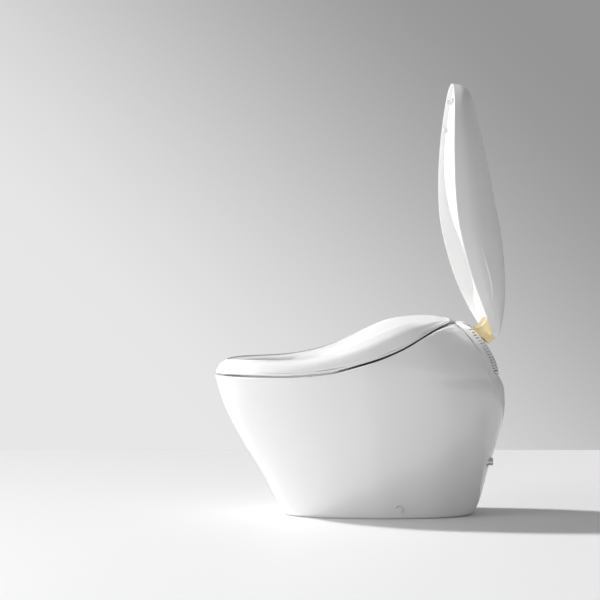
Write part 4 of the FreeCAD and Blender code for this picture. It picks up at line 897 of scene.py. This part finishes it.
world = bpy.data.worlds.new("pale room")
bpy.context.scene.world = world
world.use_nodes = True
tree = world.node_tree
tree.nodes.clear()
node, link = tree.nodes.new, tree.links.new
WALL_LEFT, WALL_RIGHT = 0.80, 0.30
WALL_FADE_FROM, WALL_FADE_TO, WALL_FADE_UP = -0.162, 0.203, 1.066
ROOM_COLOUR, ROOM_STRENGTH = (0.96, 0.96, 0.96, 1), 0.26
where, across, out = node("ShaderNodeTexCoord"), node("ShaderNodeVectorMath"), node("ShaderNodeOutputWorld")
across.operation = "DOT_PRODUCT"
across.inputs[1].default_value = (sideways[0], sideways[1], WALL_FADE_UP)
link(where.outputs["Generated"], across.inputs[0])
fade = node("ShaderNodeMapRange")
fade.interpolation_type = "SMOOTHSTEP"
for label, value in (("From Min", WALL_FADE_FROM), ("From Max", WALL_FADE_TO), ("To Min", WALL_LEFT),
                     ("To Max", WALL_RIGHT)):
    fade.inputs[label].default_value = value
link(across.outputs["Value"], fade.inputs["Value"])
wall_light, room_light = node("ShaderNodeBackground"), node("ShaderNodeBackground")
choose = node("ShaderNodeMixShader")
link(fade.outputs[0], wall_light.inputs["Color"])
room_light.inputs["Color"].default_value = ROOM_COLOUR
room_light.inputs["Strength"].default_value = ROOM_STRENGTH
path, seen = node("ShaderNodeLightPath"), node("ShaderNodeMath")
seen.use_clamp = True
link(path.outputs["Is Camera Ray"], seen.inputs[0])
link(path.outputs["Is Glossy Ray"], seen.inputs[1])
link(seen.outputs[0], choose.inputs["Fac"])
link(room_light.outputs[0], choose.inputs[1])
link(wall_light.outputs[0], choose.inputs[2])
link(choose.outputs[0], out.inputs["Surface"])

# %% Lamps


def lamp(name, kind, place, aim, energy):
    """A lamp at a place, turned towards its aim and unseen by the camera itself."""
    data = bpy.data.lights.new(name, kind)
    data.energy = energy
    thing = bpy.data.objects.new(name, data)
    thing.location = place
    thing.rotation_mode = "QUATERNION"
    thing.rotation_quaternion = (Vector(aim) - Vector(place)).to_track_quat("-Z", "Y")
    thing.visible_camera = False
    bpy.context.scene.collection.objects.link(thing)
    return data


window_light = lamp("window_light", "SUN", (-1.76, -4.0, 3.92), (0, 0, 0), 3.05)
window_light.angle = math.radians(6)
soft_box = lamp("soft_box", "AREA", (1.5, -3.9, 1.2), (0, -0.1, 0.3), 70)
soft_box.shape, soft_box.size = "DISK", 2.0

# %% Camera
DISTANCE, HALF_VIEW, CAMERA_HEIGHT = 5.9, 0.828, 0.842          # metres
AIM = Vector((0.0, -0.295, 0.593))
SENSOR, FARTHEST = 36.0, 60.0
camera_data = bpy.data.cameras.new("camera")
camera_data.sensor_width = SENSOR
camera_data.lens = SENSOR / 2 / (HALF_VIEW / DISTANCE)
camera_data.clip_end = FARTHEST
camera = bpy.data.objects.new("camera", camera_data)
camera.location = AIM + Vector(towards) * DISTANCE + Vector((0, 0, CAMERA_HEIGHT - AIM.z))
camera.rotation_mode = "QUATERNION"
camera.rotation_quaternion = (AIM - camera.location).to_track_quat("-Z", "Y")
bpy.context.scene.collection.objects.link(camera)
bpy.context.scene.camera = camera
bpy.context.scene.view_settings.view_transform = "Standard"

# %% Where measured places of the photograph fall in the picture
PICTURE = 600
LANDMARKS = {"front tip": FRONT_EDGE[0], "rear bulge": BACK_EDGE[4], "floor back": BACK_EDGE[0]}
focal = camera_data.lens / SENSOR * PICTURE
bpy.context.view_layer.update()
into = camera.matrix_world.inverted()
for label, (y, z) in LANDMARKS.items():
    p = into @ (Vector((0, y, z)) * MM)
    print(label, round(PICTURE / 2 + focal * p.x / -p.z, 1), round(PICTURE / 2 - focal * p.y / -p.z, 1))
